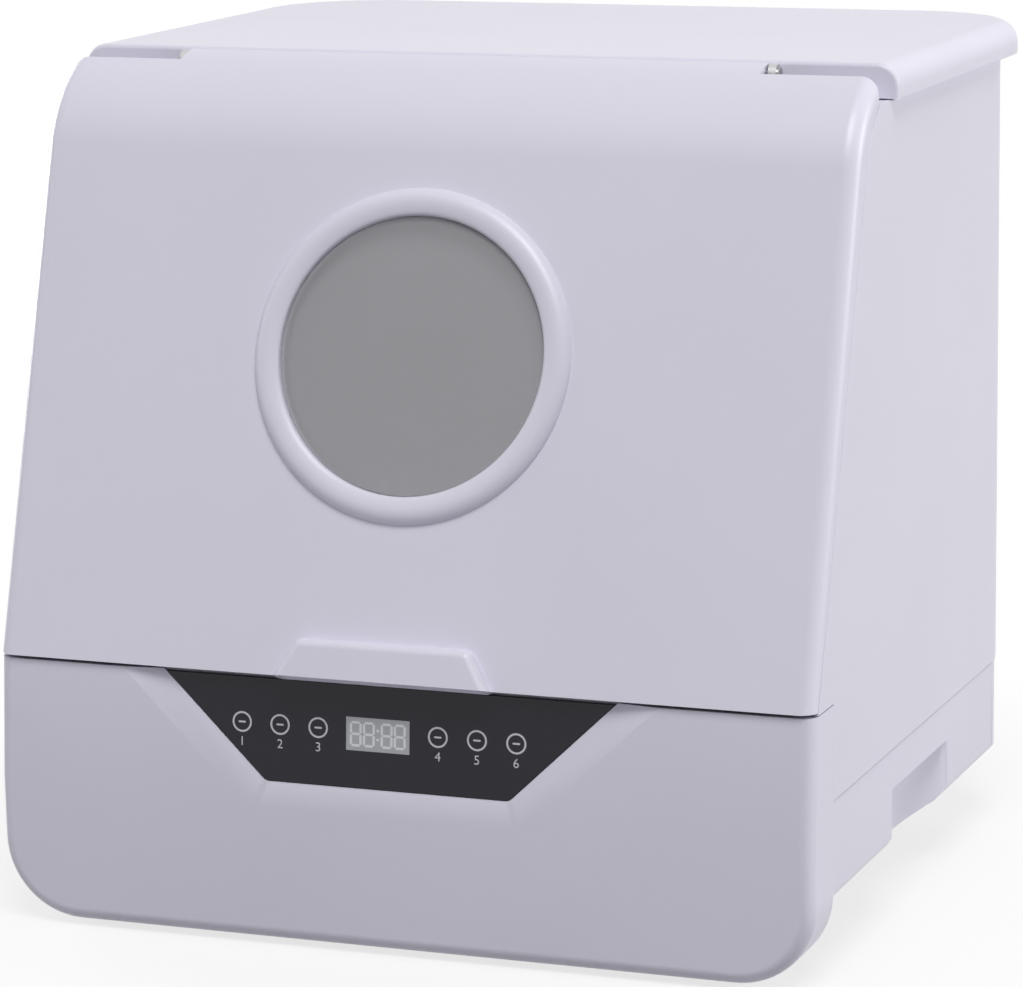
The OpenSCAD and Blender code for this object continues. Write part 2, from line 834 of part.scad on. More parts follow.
module lid_screws() {
  color(steel) in_frame() for (a = [30:60:330]) clamp_screw_place(a) {
    translate([0, clamp_t, 0]) along_y(2.1, 1);
    translate([0, -3.4, 0]) along_y(1.1, clamp_t + 3.5);
  }
}

// ------------------------------------------------------------------- hinge

pin_r = 2;
bush_r = 3;
bush_l = 14;
ear_t = 4;
ear_gap = 1;
ear_r = bead_r - 0.4;

module hinge_bushes() {
  color(dark_plastic) in_frame() mirror_pair() translate([tongue_half - bush_l, hinge_y, hinge_z])
    difference() {
      along_x(bush_r, bush_l);
      translate([-1, 0, 0]) along_x(pin_r + run_gap, bush_l + 2);
    }
}

module hinge_pins() {
  color(steel) in_frame() mirror_pair() {
    translate([tongue_half - bush_l + 1, hinge_y, hinge_z]) along_x(pin_r, bush_l - 1 + ear_gap + ear_t);
    translate([tongue_half + ear_gap + ear_t, hinge_y, hinge_z]) along_x(pin_r + 1, 1.2);
  }
}

rail_h = 3;
rail_z = cover_low_z - 7.5;
rail_y0 = cover_y + wall + 0.6;
rail_y1 = rail_y0 + 34;
bracket_z = rail_z + rail_h;
bracket_t = cover_low_z - 0.6 - bracket_z;
bracket_w = 22;
module hinge_screw_places() {
  mirror_pair() for (y = [rail_y0 + 8, rail_y0 + 22])
    translate([tongue_half + ear_gap + ear_t + 9, y, bracket_z]) children();
}

module hinge_brackets() {
  color(steel) in_frame() difference() {
    mirror_pair() {
      side_extrude(ear_t, tongue_half + ear_gap + ear_t / 2) {
        translate([hinge_y, hinge_z]) circle(ear_r);
        translate([hinge_y - 4, bracket_z]) square([ear_r + 4, hinge_z - bracket_z]);
        translate([hinge_y - 4, bracket_z]) square([rail_y1 - hinge_y + 4, bracket_t]);
      }
      translate([tongue_half + ear_gap + ear_t - 1, cover_y + 0.5, bracket_z])
        cube([bracket_w - ear_t, rail_y1 - cover_y - 0.5, bracket_t]);
    }
    mirror_pair() translate([tongue_half, hinge_y, hinge_z]) along_x(pin_r + run_gap / 3, 10);
    hinge_screw_places() translate([0, 0, -1]) cylinder(r = 1.7, h = bracket_t + 2);
  }
}

module hinge_rail() {
  half = half_w - wall - 0.4;
  color(steel) in_frame() difference() {
    union() {
      translate([-half, rail_y0, rail_z]) cube([2 * half, rail_y1 - rail_y0, rail_h]);
      translate([-tongue_half + 10, rail_y1 - 3, tub_roof_z + 0.1])
        cube([2 * tongue_half - 20, 3, top_z - wall - 0.4 - tub_roof_z]);
    }
    hinge_screw_places() translate([0, 0, -rail_h - 1]) cylinder(r = 1.7, h = rail_h + 2);
  }
}

module hinge_screws() {
  color(steel) in_frame() hinge_screw_places() {
    translate([0, 0, -rail_h]) cylinder(r = 1.6, h = rail_h + bracket_t);
    translate([0, 0, bracket_t]) cylinder(r = 3, h = 1.6);
  }
}

// --------------------------------------------------------------------- tub

// Tub cross-section, outline inset by t
module tub_section(t) {
  r = tub_r - t;
  half = tub_half - t;
  low = tub_floor_z - tub_wall + t;
  high = tub_roof_z - t;
  translate([-half, low + r]) square([2 * half, high - low - 2 * r]);
  translate([-half + r, low]) square([2 * (half - r), high - low]);
  for (side = [-1, 1], z = [low + r, high - r]) translate([side * (half - r), z]) circle(r);
}

// Clear mouth of the tub, between its lower and upper lips
module mouth_section() {
  intersection() {
    tub_section(tub_wall);
    translate([-body_w, lip_z]) square([2 * body_w, mouth_top_z - lip_z]);
  }
}

// Slanted slab along the rim, from depth d0 to d1 behind the joint's line
module rim_slab(d0, d1, z0, z1) {
  side_extrude(2 * rim_half) polygon([
    [cheek_y(z0) + d0, z0], [cheek_y(z1) + d0, z1], [cheek_y(z1) + d1, z1], [cheek_y(z0) + d1, z0]
  ]);
}

duct_r = 24;
shelf_low_z = lip_z - 3;
module tub_body() {
  side_extrude(body_w) polygon([
    [cheek_y(shelf_low_z) + rim_back, shelf_low_z], [cheek_y(tub_roof_z + 1) + rim_back, tub_roof_z + 1],
    [tub_back_y + 1, tub_roof_z + 1], [tub_back_y + 1, tub_floor_z - 5], [tub_front_y, tub_floor_z - 5],
    [tub_front_y, shelf_low_z]
  ]);
}

module tub() {
  color(tub_grey) in_frame() {
    difference() {
      intersection() {
        front_extrude(0, tub_back_y) tub_section(0);
        tub_body();
      }
      difference() {
        front_extrude(tub_front_y + tub_wall, tub_back_y - tub_wall) tub_section(tub_wall);
        mirror_pair() translate([inner_half - rail_w, tub_front_y + 4, rail_top_z - rail_t])
          cube([rail_w + 5, tub_back_y - tub_front_y, rail_t]);
      }
      front_extrude(0, tub_front_y + tub_wall + 1) intersection() {
        tub_section(tub_wall);
        translate([-body_w, lip_z]) square([2 * body_w, top_z]);
      }
      translate([0, tub_mid_y, tub_floor_z - 10]) cylinder(r = sump_r - 6, h = 20);
      heater_leg_places() translate([0, 0, -10]) cylinder(r = heater_leg_r + 0.1, h = 20);
      translate([duct_x, tub_back_y - tub_wall - 1, vent_z]) along_y(duct_r, tub_wall + 2);
    }
    difference() {
      rim_slab(rim_back, rim_back + rim_t, seam_z + 0.6, tub_roof_z);
      front_extrude(0, 200) mouth_section();
    }
    translate([float_x, float_y, tub_floor_z - 0.1]) cylinder(r = float_pin_r, h = float_h + 6);
  }
}

module tub_seal() {
  color(rubber_grey) in_frame() difference() {
    intersection() {
      rim_slab(0.1, rim_back, seam_z + 0.6, cheek_top_z);
      front_extrude(0, 200) offset(delta = 6.5, $fn = 32) mouth_section($fn = 32);
    }
    front_extrude(0, 200) offset(delta = 0.5, $fn = 32) mouth_section($fn = 32);
  }
}

module strike_plates() {
  z0 = seam_z + seam_gap + magnet_up - 6;
  z1 = z0 + 12;
  front = rim_back - 1;
  back = rim_back - 0.1;
  color(steel) in_frame() for (x = [-magnet_x, magnet_x]) side_extrude(12, x) polygon([
    [cheek_y(z0) + front, z0], [cheek_y(z1) + front, z1], [cheek_y(z1) + back, z1], [cheek_y(z0) + back, z0]
  ]);
}

module reed_switch() {
  color(dark_plastic) in_frame() translate([magnet_x - 25, tub_front_y - 14, seam_z - wall - 9])
    difference() {
      cube([30, 8, 8.6]);
      for (x = [4, 26]) translate([x, -1, 4]) along_y(1.3, 12);
    }
}

// -------------------------------------------------- spray arm, sump, filter

module spray_hub() {
  color(dark_plastic) in_frame() translate([0, tub_mid_y, 0]) difference() {
    union() {
      translate([0, 0, tub_floor_z + 0.1 + filter_t]) cylinder(r = hub_r + 5, h = arm_z - tub_floor_z - 0.5 - filter_t);
      translate([0, 0, tub_floor_z]) cylinder(r = hub_r, h = arm_z + arm_h + 3 - tub_floor_z);
      translate([0, 0, volute_top_z]) cylinder(r = hub_r - 1.5, h = tub_floor_z - volute_top_z);
    }
    translate([0, 0, volute_top_z - 1]) cylinder(r = hub_r - 3.5, h = arm_z - volute_top_z + 7);
    for (a = [0:90:270]) translate([0, 0, arm_z + arm_h / 2]) rotate([0, 90, a]) cylinder(r = 2, h = hub_r + 2);
  }
}

module spray_arm() {
  tip_r = 15;
  root_r = 26;
  span = arm_l / 2 - tip_r;
  color(shell_shade) in_frame() translate([0, tub_mid_y, arm_z]) difference() {
    union() {
      linear_extrude(arm_h) hull() for (s = [-1, 1]) translate([s * span, s * 4]) circle(tip_r);
      cylinder(r = root_r, h = arm_h);
    }
    translate([0, 0, -1]) cylinder(r = hub_r + run_gap, h = arm_h + 2);
    translate([0, 0, 2.4]) difference() {
      linear_extrude(arm_h - 4.8) hull() for (s = [-1, 1]) translate([s * span, s * 4]) circle(tip_r - 2);
      translate([0, 0, -1]) cylinder(r = hub_r + 2.4, h = arm_h);
    }
    for (s = [-1, 1], i = [0:3]) translate([s * (38 + i * 26), s * (i % 2 == 0 ? 5 : -3), arm_h - 4])
      cylinder(r = 1.5, h = 8);
  }
}

module arm_nut() {
  nut_h = 6;
  color(dark_plastic) in_frame() translate([0, tub_mid_y, arm_z + arm_h + 0.6]) difference() {
    union() {
      cylinder(r = 15, h = nut_h - 2);
      cylinder(r = 10, h = nut_h);
    }
    translate([0, 0, -1]) cylinder(r = hub_r + 0.02, h = 3.4);
  }
}

filter_t = 1.6;
sump_low_z = tub_floor_z - 36;
volute_top_z = sump_low_z - 6;
module sump() {
  color(dark_plastic) in_frame() translate([0, tub_mid_y, 0]) difference() {
    union() {
      translate([0, 0, sump_low_z]) cylinder(r = sump_r - 6.3, h = tub_floor_z - sump_low_z);
      translate([0, 0, tub_floor_z - tub_wall - 3]) cylinder(r = sump_r, h = 3 - 0.05);
      translate([cup_x, 0, sump_low_z - 6]) cylinder(r = stub_r, h = 7);
      translate([0, 0, port_z]) along_y(stub_r, sump_r + 6);
      translate([0, 0, port_z]) along_x(stub_r, sump_r + 6);
    }
    translate([0, 0, sump_low_z + 2.4]) cylinder(r = sump_r - 8.8, h = 60);
    translate([0, 0, sump_low_z - 1]) cylinder(r = hub_r - 1.4, h = 5);
    translate([cup_x, 0, sump_low_z - 10]) cylinder(r = stub_bore, h = 14);
    translate([0, 0, port_z]) along_y(stub_bore, sump_r + 8);
    translate([0, 0, port_z]) along_x(stub_bore, sump_r + 8);
  }
}

cup_x = 27;
cup_r = 11.5;
module filter_plate() {
  plate_r = sump_r - 9;
  color(steel) in_frame() translate([0, tub_mid_y, tub_floor_z]) difference() {
    union() {
      translate([0, 0, -tub_wall]) cylinder(r = plate_r, h = tub_wall + 0.1);
      translate([0, 0, 0.05]) cylinder(r = plate_r + 7, h = filter_t - 0.05);
    }
    translate([0, 0, -4]) cylinder(r = hub_r + 0.2, h = 10);
    translate([cup_x, 0, -4]) cylinder(r = cup_r + 0.2, h = 10);
    for (a = [50:20:310]) rotate([0, 0, a]) translate([31, 0, -4]) cylinder(r = 2.4, h = 10);
    for (a = [75:30:285]) rotate([0, 0, a]) translate([20, 0, -4]) cylinder(r = 2.4, h = 10);
  }
}

module filter_cup() {
  low = sump_low_z + 3;
  high = tub_floor_z + filter_t + 3;
  color(shell_shade) in_frame() translate([cup_x, tub_mid_y, 0]) difference() {
    union() {
      translate([0, 0, low]) cylinder(r = cup_r, h = high - low);
      translate([-2, -cup_r + 1, high - 1]) cube([4, 2 * cup_r - 2, 5]);
    }
    translate([0, 0, low + 2]) cylinder(r = cup_r - 2, h = high - low - 5);
    for (a = [0:60:300], z = [low + 7, low + 18]) rotate([0, 0, a]) translate([cup_r - 3, -2, z])
      cube([5, 4, 7]);
  }
}

// Ring heater on the tub's floor with two legs down through it
heater_r = 72;
heater_tube_r = 4;
heater_leg_r = heater_tube_r + 1;
module heater_leg_places() {
  for (a = [99, 81]) translate([heater_r * cos(a), tub_mid_y + heater_r * sin(a), tub_floor_z]) children();
}

module heater() {
  ring_z = tub_floor_z + heater_tube_r + 3;
  color(steel) in_frame() {
    translate([0, tub_mid_y, ring_z]) rotate([0, 0, 99]) rotate_extrude(angle = 342)
      translate([heater_r, 0]) circle(heater_tube_r);
    heater_leg_places() {
      translate([0, 0, -14]) cylinder(r = heater_leg_r, h = 14 + 4 + 2 * heater_tube_r);
      translate([0, 0, 0.05]) cylinder(r = heater_leg_r + 3, h = 2);
    }
  }
}

// Float that lifts on its pin when the water stands too high
float_x = -(inner_half - 42);
float_y = tub_back_y - 34;
float_pin_r = 3;
float_h = 16;
module float_cup() {
  float_r = 13;
  color(shell_white) in_frame() translate([float_x, float_y, tub_floor_z + 0.3]) difference() {
    union() {
      cylinder(r = float_r, h = float_h - 4);
      cylinder(r = float_r - 3, h = float_h);
    }
    translate([0, 0, -1]) cylinder(r = float_pin_r + run_gap, h = float_h + 2);
    translate([0, 0, -1]) difference() {
      cylinder(r = float_r - 2, h = float_h - 5);
      cylinder(r = float_pin_r + 2, h = float_h);
    }
  }
}

// -------------------------------------------------------------------- rack

// Wire from point a to point b, with eight flat sides
module wire(a, b, r = wire_r) {
  d = b - a;
  l = norm(d);
  translate(a) rotate([0, acos(d[2] / l), atan2(d[1], d[0])]) cylinder(r = r, h = l, $fn = 8);
}

rim_wire_z = rack_z + rack_h;
floor_xs = [for (i = [-5:5]) i * wire_pitch];
rack_len = rack_back_y - rack_front_y;
cross_n = floor(rack_len / 56);
floor_ys = [for (i = [0:cross_n]) rack_front_y + i * rack_len / cross_n];

module rack_frame() {
  color(shell_white) in_frame() {
    for (x = floor_xs) wire([x, rack_front_y, rack_z], [x, rack_back_y, rack_z]);
    for (y = floor_ys) {
      reach = rack_half + (y == floor_ys[cross_n - 2] || y == floor_ys[cross_n] ? 7 : 0);
      wire([-reach, y, rack_z], [reach, y, rack_z]);
      for (s = [-1, 1]) wire([s * rack_half, y, rack_z - wire_r], [s * rack_half, y, rim_wire_z]);
    }
    for (x = floor_xs, y = [rack_front_y, rack_back_y]) wire([x, y, rack_z - wire_r], [x, y, rim_wire_z]);
    for (s = [-1, 1]) {
      wire([s * rack_half, rack_front_y - wire_r, rim_wire_z], [s * rack_half, rack_back_y + wire_r, rim_wire_z]);
      wire([s * rack_half, rack_front_y - wire_r, rack_z], [s * rack_half, rack_back_y + wire_r, rack_z]);
    }
    for (y = [rack_front_y, rack_back_y])
      wire([-rack_half - wire_r, y, rim_wire_z], [rack_half + wire_r, y, rim_wire_z]);
  }
}

// Plate tines: two rows of upright wires on a foot wire each
tine_xs = [floor_xs[1], floor_xs[3]];
module rack_tines() {
  foot_z = rack_z + 2 * wire_r;
  y0 = rack_front_y + 26;
  step = 27;
  count = floor((rack_len - 50) / step);
  color(shell_white) in_frame() for (x = tine_xs) {
    wire([x, y0 - 6, foot_z], [x, y0 + count * step + 6, foot_z], 1.5);
    for (i = [0:count]) wire([x, y0 + i * step, foot_z - 1], [x, y0 + i * step, rack_z + tine_h], 1.5);
  }
}

// Glide shoes clipped on the floor wires' ends, riding on the tub's rails
module rack_glides() {
  shoe_l = 22;
  shoe_x = inner_half - 1;
  color(dark_plastic) in_frame() mirror_pair() for (y = [floor_ys[cross_n - 2], floor_ys[cross_n]])
    translate([0, y, 0]) difference() {
      translate([rack_half + wire_r + 0.1, -shoe_l / 2, rack_z - wire_r])
        cube([shoe_x - rack_half - wire_r - 0.1, shoe_l, 10]);
      translate([rack_half - 1, 0, rack_z]) along_x(wire_r + 0.05, 8.2);
    }
}

module cutlery_basket() {
  basket_w = 52;
  basket_d = 84;
  basket_h = 74;
  skin = 2;
  x0 = rack_half - wire_r - basket_w - 2;
  y0 = rack_front_y + wire_r + 3;
  z0 = rack_z + wire_r + 0.2;
  color(shell_shade) in_frame() translate([x0, y0, z0]) difference() {
    cube([basket_w, basket_d, basket_h]);
    for (j = [0, 1]) translate([skin, skin + j * (basket_d - skin) / 2, skin])
      cube([basket_w - 2 * skin, (basket_d - 3 * skin) / 2, basket_h]);
    for (i = [0:4], z = [16, 40]) translate([-1, 8 + i * 15, z]) cube([basket_w + 2, 8, 14]);
    for (i = [0:2], j = [0:4]) translate([8 + i * 14, 6 + j * 15.5, -1]) cube([8, 9, 4]);
  }
}

// ------------------------------------------------------------------- pumps

pump_y = tub_mid_y;
pump_z = 31;
volute_r = 22;
volute_w = 20;
stub_r = 6;
stub_bore = 4.4;
hose_r = 8;
hose_bore = 6.1;
port_z = 69;
module wash_volute() {
  color(dark_plastic) in_frame() translate([-volute_w / 2, pump_y, pump_z]) difference() {
    union() {
      along_x(volute_r, volute_w);
      along_x(stub_r, volute_w + 5);
      translate([volute_w / 2, 0, 0]) cylinder(r = hub_r + 1, h = volute_top_z - pump_z - 0.2);
    }
    translate([2.4, 0, 0]) along_x(volute_r - 2.6, volute_w - 4.8);
    translate([volute_w / 2, 0, 0]) cylinder(r = hub_r - 3, h = 60);
    translate([-1, 0, 0]) along_x(shaft_r + run_gap, volute_w);
    translate([volute_w - 4, 0, 0]) along_x(stub_bore, 12);
  }
}

shaft_r = 3;
motor_r = 22;
motor_l = 62;
module wash_motor() {
  x1 = -volute_w / 2 - 2;
  color(steel) in_frame() difference() {
    union() {
      translate([x1 - motor_l, pump_y, pump_z]) along_x(motor_r, motor_l);
      translate([x1, pump_y, pump_z]) along_x(12, 2);
      translate([x1 - motor_l + 6, pump_y - 18, pan_floor_z + wall]) cube([motor_l - 12, 36, pump_z - pan_floor_z - wall]);
    }
    translate([x1 - motor_l + 3, pump_y, pump_z]) along_x(motor_r - 7, motor_l - 6);
    translate([x1 - motor_l - 1, pump_y, pump_z]) along_x(shaft_r + run_gap, motor_l + 6);
  }
}

module wash_rotor() {
  x1 = -volute_w / 2 - 2;
  color(steel) in_frame() translate([0, pump_y, pump_z]) {
    translate([x1 - motor_l - 4, 0, 0]) along_x(shaft_r, motor_l + 4 + volute_w - 4);
    translate([x1 - motor_l + 8, 0, 0]) along_x(motor_r - 8, motor_l - 16);
    translate([-volute_w / 2 + 3.4, 0, 0]) along_x(volute_r - 6, 2);
    for (a = [0:60:300]) rotate([a, 0, 0]) translate([-volute_w / 2 + 5, -1, 2]) cube([8, 2, volute_r - 9]);
  }
}

drain_pump_y = 262;
chamber_z = 26;
chamber_r = 18;
module drain_pump() {
  color(dark_plastic) in_frame() translate([0, drain_pump_y, 0]) difference() {
    union() {
      translate([0, 0, pan_floor_z + wall]) cylinder(r = 15, h = chamber_z - pan_floor_z - wall + 1);
      translate([0, 0, chamber_z]) cylinder(r = chamber_r, h = 15);
      translate([0, 0, chamber_z + 14]) cylinder(r = stub_r, h = 11);
      translate([0, 0, chamber_z + 7.5]) along_y(stub_r, chamber_r + 14);
    }
    translate([0, 0, pan_floor_z + wall + 2]) cylinder(r = 11.5, h = chamber_z - pan_floor_z - wall - 4.4);
    translate([0, 0, chamber_z + 2.4]) cylinder(r = chamber_r - 2.4, h = 10.2);
    translate([0, 0, chamber_z - 4]) cylinder(r = 2 + run_gap, h = 8);
    translate([0, 0, chamber_z + 8]) cylinder(r = stub_bore, h = 20);
    translate([0, 6, chamber_z + 7.5]) along_y(stub_bore, chamber_r + 14);
  }
}

module drain_rotor() {
  low = pan_floor_z + wall + 2.6;
  color(steel) in_frame() translate([0, drain_pump_y, 0]) {
    translate([0, 0, low]) cylinder(r = 2, h = chamber_z + 11.6 - low);
    translate([0, 0, low + 0.4]) cylinder(r = 9.5, h = chamber_z - 4 - low);
    translate([0, 0, chamber_z + 3]) cylinder(r = 8, h = 1.4);
    for (a = [0:72:288]) rotate([0, 0, a]) translate([1.6, -0.8, chamber_z + 3.4]) cube([12.9, 1.6, 7.6]);
  }
}

// Drain spigot through the base's back, a barb inside and a longer one outside
module drain_spigot() {
  y0 = pan_back_y - wall;
  color(dark_plastic) in_frame() translate([0, 0, port_z]) difference() {
    union() {
      translate([0, y0 - 16, 0]) along_y(stub_r, 20);
      translate([0, y0 - 3, 0]) along_y(drain_r - 0.5, wall + 3.5);
      translate([0, pan_back_y, 0]) along_y(drain_r, drain_l);
      translate([0, y0 - 3, 0]) along_y(drain_r + 5, 3 - 0.05);
    }
    translate([0, y0 - 20, 0]) along_y(stub_bore, wall + 40 + drain_l);
  }
}

// ------------------------------------------------------------------- water

inlet_x = 100;
module inlet_valve() {
  y0 = pan_back_y - wall;
  color(shell_white) in_frame() translate([inlet_x, 0, port_z]) difference() {
    union() {
      translate([0, y0 - 34, 0]) along_y(inlet_r - 0.5, wall + 34.5);
      translate([0, pan_back_y, 0]) along_y(inlet_r, inlet_l);
      translate([0, y0 - 3, 0]) along_y(inlet_r + 1.6, 3 - 0.05);
      translate([0, y0 - 40, -34]) cylinder(r = 12.5, h = 44);
      translate([0, y0 - 72, 0]) along_y(stub_r, 24);
    }
    translate([0, y0 - 30, 0]) along_y(inlet_r - 3, wall + 50 + inlet_l);
    translate([0, y0 - 80, 0]) along_y(stub_bore, 60);
  }
}

// Quarter bend of a tube: from +X of the centre, round towards +Y
module quarter_bend(r, bend) {
  rotate_extrude(angle = 90) translate([bend, 0]) circle(r);
}

// Drain run: out of the sump, down into the pump, and from the pump up to the spigot
module drain_run(r, grow) {
  bend = 12;
  y_sump = tub_mid_y + sump_r - 5;
  y_out = drain_pump_y + chamber_r + 2;
  low_z = chamber_z + 7.5;
  translate([0, y_sump - grow, port_z]) along_y(r, drain_pump_y - bend - y_sump + grow);
  translate([0, drain_pump_y - bend, port_z - bend]) rotate([0, -90, 0]) quarter_bend(r, bend);
  translate([0, drain_pump_y, chamber_z + 15.4 - grow]) cylinder(r = r, h = port_z - bend - chamber_z - 15.4 + grow);
  translate([0, y_out - grow, low_z]) along_y(r, 20 + grow);
  translate([0, y_out + 20, low_z + bend]) rotate([0, 90, 0]) quarter_bend(r, bend);
  translate([0, y_out + 20 + bend, low_z + bend]) cylinder(r = r, h = port_z - low_z - 2 * bend);
  translate([0, y_out + 20 + 2 * bend, port_z - bend]) rotate([0, -90, 180]) quarter_bend(r, bend);
  translate([0, y_out + 20 + 2 * bend, port_z])
    along_y(r, pan_back_y - wall - 3.4 - y_out - 20 - 2 * bend + grow);
}

module drain_hose() {
  color(rubber_grey) in_frame() difference() {
    drain_run(hose_r, 0);
    drain_run(hose_bore, 1);
  }
}

// Wash run: from the sump's lower stub round into the volute's side
module wash_run(r, grow) {
  bend = 12;
  translate([cup_x, pump_y, pump_z + bend]) cylinder(r = r, h = sump_low_z - 0.4 - pump_z - bend + grow);
  translate([cup_x - bend, pump_y, pump_z + bend]) rotate([-90, 0, 0]) quarter_bend(r, bend);
  translate([volute_w / 2 + 0.4 - grow, pump_y, pump_z])
    along_x(r, cup_x - bend - volute_w / 2 - 0.4 + grow);
}

module wash_hose() {
  color(rubber_grey) in_frame() difference() {
    wash_run(hose_r, 0);
    wash_run(hose_bore, 1);
  }
}

// Fill run: from the valve's stub forward, then across into the sump's side
module inlet_run(r, grow) {
  bend = 18;
  x_sump = sump_r - 5;
  y_valve = pan_back_y - wall - 53.2;
  translate([inlet_x, tub_mid_y + bend, port_z]) along_y(r, y_valve - tub_mid_y - bend + grow);
  translate([inlet_x - bend, tub_mid_y + bend, port_z]) rotate([0, 0, -90]) quarter_bend(r, bend);
  translate([x_sump - grow, tub_mid_y, port_z]) along_x(r, inlet_x - bend - x_sump + grow);
}

module inlet_hose() {
  color(rubber_grey) in_frame() difference() {
    inlet_run(hose_r, 0);
    inlet_run(hose_bore, 1);
  }
}

gland_x = -140;
gland_r = 8;
module cable_gland() {
  y0 = pan_back_y - wall;
  color(dark_plastic) in_frame() translate([gland_x, 0, port_z]) difference() {
    union() {
      translate([0, y0 - 8, 0]) along_y(gland_r, wall + 14);
      translate([0, pan_back_y + 0.05, 0]) along_y(gland_r + 3, 3);
    }
    translate([0, y0 - 20, 0]) along_y(gland_bore_r, 60);
  }
}

// ------------------------------------------------------------------ blower

duct_x = 60;
blower_r = 38;
blower_y0 = tub_back_y + 0.4;
blower_y1 = body_d - wall - 1;
module blower_housing() {
  color(dark_plastic) in_frame() translate([duct_x, 0, vent_z]) difference() {
    translate([0, blower_y0, 0]) along_y(blower_r, blower_y1 - blower_y0);
    translate([0, blower_y0 + 2, 0]) along_y(blower_r - 2, blower_y1 - blower_y0 - 4);
    translate([0, blower_y0 - 1, 0]) along_y(duct_r, 6);
    difference() {
      translate([0, blower_y1 - 4, 0]) along_y(duct_r + 4, 6);
      translate([0, blower_y1 - 5, 0]) along_y(motor_seat_r, 8);
      for (a = [0:60:120]) rotate([0, a, 0]) translate([-duct_r - 6, blower_y1 - 3, -2]) cube([2 * duct_r + 12, 4, 4]);
    }
    translate([0, blower_y1 - 5, 0]) along_y(shaft_gap_r, 8);
  }
}

motor_seat_r = 12;
shaft_gap_r = 1.5 + 0.5;
module blower_motor() {
  color(steel) in_frame() translate([duct_x, 0, vent_z]) difference() {
    translate([0, blower_y1 - 12, 0]) along_y(9, 10 - 0.05);
    translate([0, blower_y1 - 13, 0]) along_y(1.5 + run_gap, 9);
  }
}

module blower_wheel() {
  wheel_r = blower_r - 5;
  y0 = blower_y0 + 4;
  color(dark_plastic) in_frame() translate([duct_x, 0, vent_z]) {
    translate([0, blower_y1 - 16, 0]) along_y(1.5, 11);
    translate([0, blower_y1 - 15, 0]) along_y(wheel_r, 1.6);
    for (a = [0:20:340]) rotate([0, a, 0]) translate([wheel_r - 9, y0, -0.7])
      cube([8, blower_y1 - 15 - y0 + 0.5, 1.4]);
  }
}

module main_board() {
  color(board_green) in_frame() translate([board_x, board_y0, pan_floor_z + wall + 4.2]) {
    cube([1.6, board_l, 50]);
    translate([1.5, 14, 6]) cube([12, 24, 20]);
    translate([1.5, 44, 8]) cube([8, 16, 14]);
    translate([1.5, 64, 6]) cube([10, 12, 12]);
  }
}

base_pan();
front_fascia();
side_panel_left();
side_panel_right();
back_panel();
top_cover();
control_glass();
display_lens();
display_module();
key_springs();
control_board();
lid_outer();
lid_liner();
lid_handle();
window_ring();
window_gasket();
window_pane();
window_clamp();
lid_magnets();
hinge_bushes();
lid_screws();
hinge_pins();
hinge_brackets();
hinge_rail();
hinge_screws();
tub();
tub_seal();
strike_plates();
reed_switch();
spray_hub();
spray_arm();
arm_nut();
sump();
filter_plate();
filter_cup();
heater();
float_cup();
rack_frame();
rack_tines();
rack_glides();
cutlery_basket();
wash_volute();
wash_motor();
wash_rotor();
drain_pump();
drain_rotor();
inlet_valve();
drain_spigot();
wash_hose();
drain_hose();
inlet_hose();
cable_gland();
blower_housing();
blower_motor();
blower_wheel();
main_board();
feet();
case_screws();
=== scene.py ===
"""Looks of a countertop dishwasher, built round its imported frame.

Lengths are millimetres from the base's lower edge and from the plane of its front,
and at() turns them into the frame's metres. The front and the lid each have a sloping
plane of their own, with depth counted inwards and up counted along the slope.
"""

import json
from math import acos, atan, atan2, cos, hypot, pi, radians, sin, sqrt, tan

import bmesh
import bpy
from mathutils import Matrix, Vector

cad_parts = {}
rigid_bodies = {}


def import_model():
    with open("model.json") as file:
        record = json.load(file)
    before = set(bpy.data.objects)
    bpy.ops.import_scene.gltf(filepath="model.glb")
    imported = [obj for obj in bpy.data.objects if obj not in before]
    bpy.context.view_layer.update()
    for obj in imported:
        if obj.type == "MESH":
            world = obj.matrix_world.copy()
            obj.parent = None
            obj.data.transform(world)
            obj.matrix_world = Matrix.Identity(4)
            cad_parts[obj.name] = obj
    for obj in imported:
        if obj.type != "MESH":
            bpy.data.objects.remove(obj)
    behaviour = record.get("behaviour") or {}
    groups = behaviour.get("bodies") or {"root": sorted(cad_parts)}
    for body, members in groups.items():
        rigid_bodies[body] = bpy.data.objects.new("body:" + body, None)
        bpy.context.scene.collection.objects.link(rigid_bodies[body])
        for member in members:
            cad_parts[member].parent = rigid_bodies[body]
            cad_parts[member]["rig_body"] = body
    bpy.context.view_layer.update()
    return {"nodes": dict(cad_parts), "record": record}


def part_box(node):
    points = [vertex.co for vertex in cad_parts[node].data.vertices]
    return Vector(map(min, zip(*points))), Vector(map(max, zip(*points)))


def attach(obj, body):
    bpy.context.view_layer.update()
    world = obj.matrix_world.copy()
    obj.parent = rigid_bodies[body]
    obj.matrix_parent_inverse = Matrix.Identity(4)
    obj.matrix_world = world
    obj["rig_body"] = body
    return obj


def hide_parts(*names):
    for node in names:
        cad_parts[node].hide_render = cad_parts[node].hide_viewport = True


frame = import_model()

# ------------------------------------------------------------------ sizes

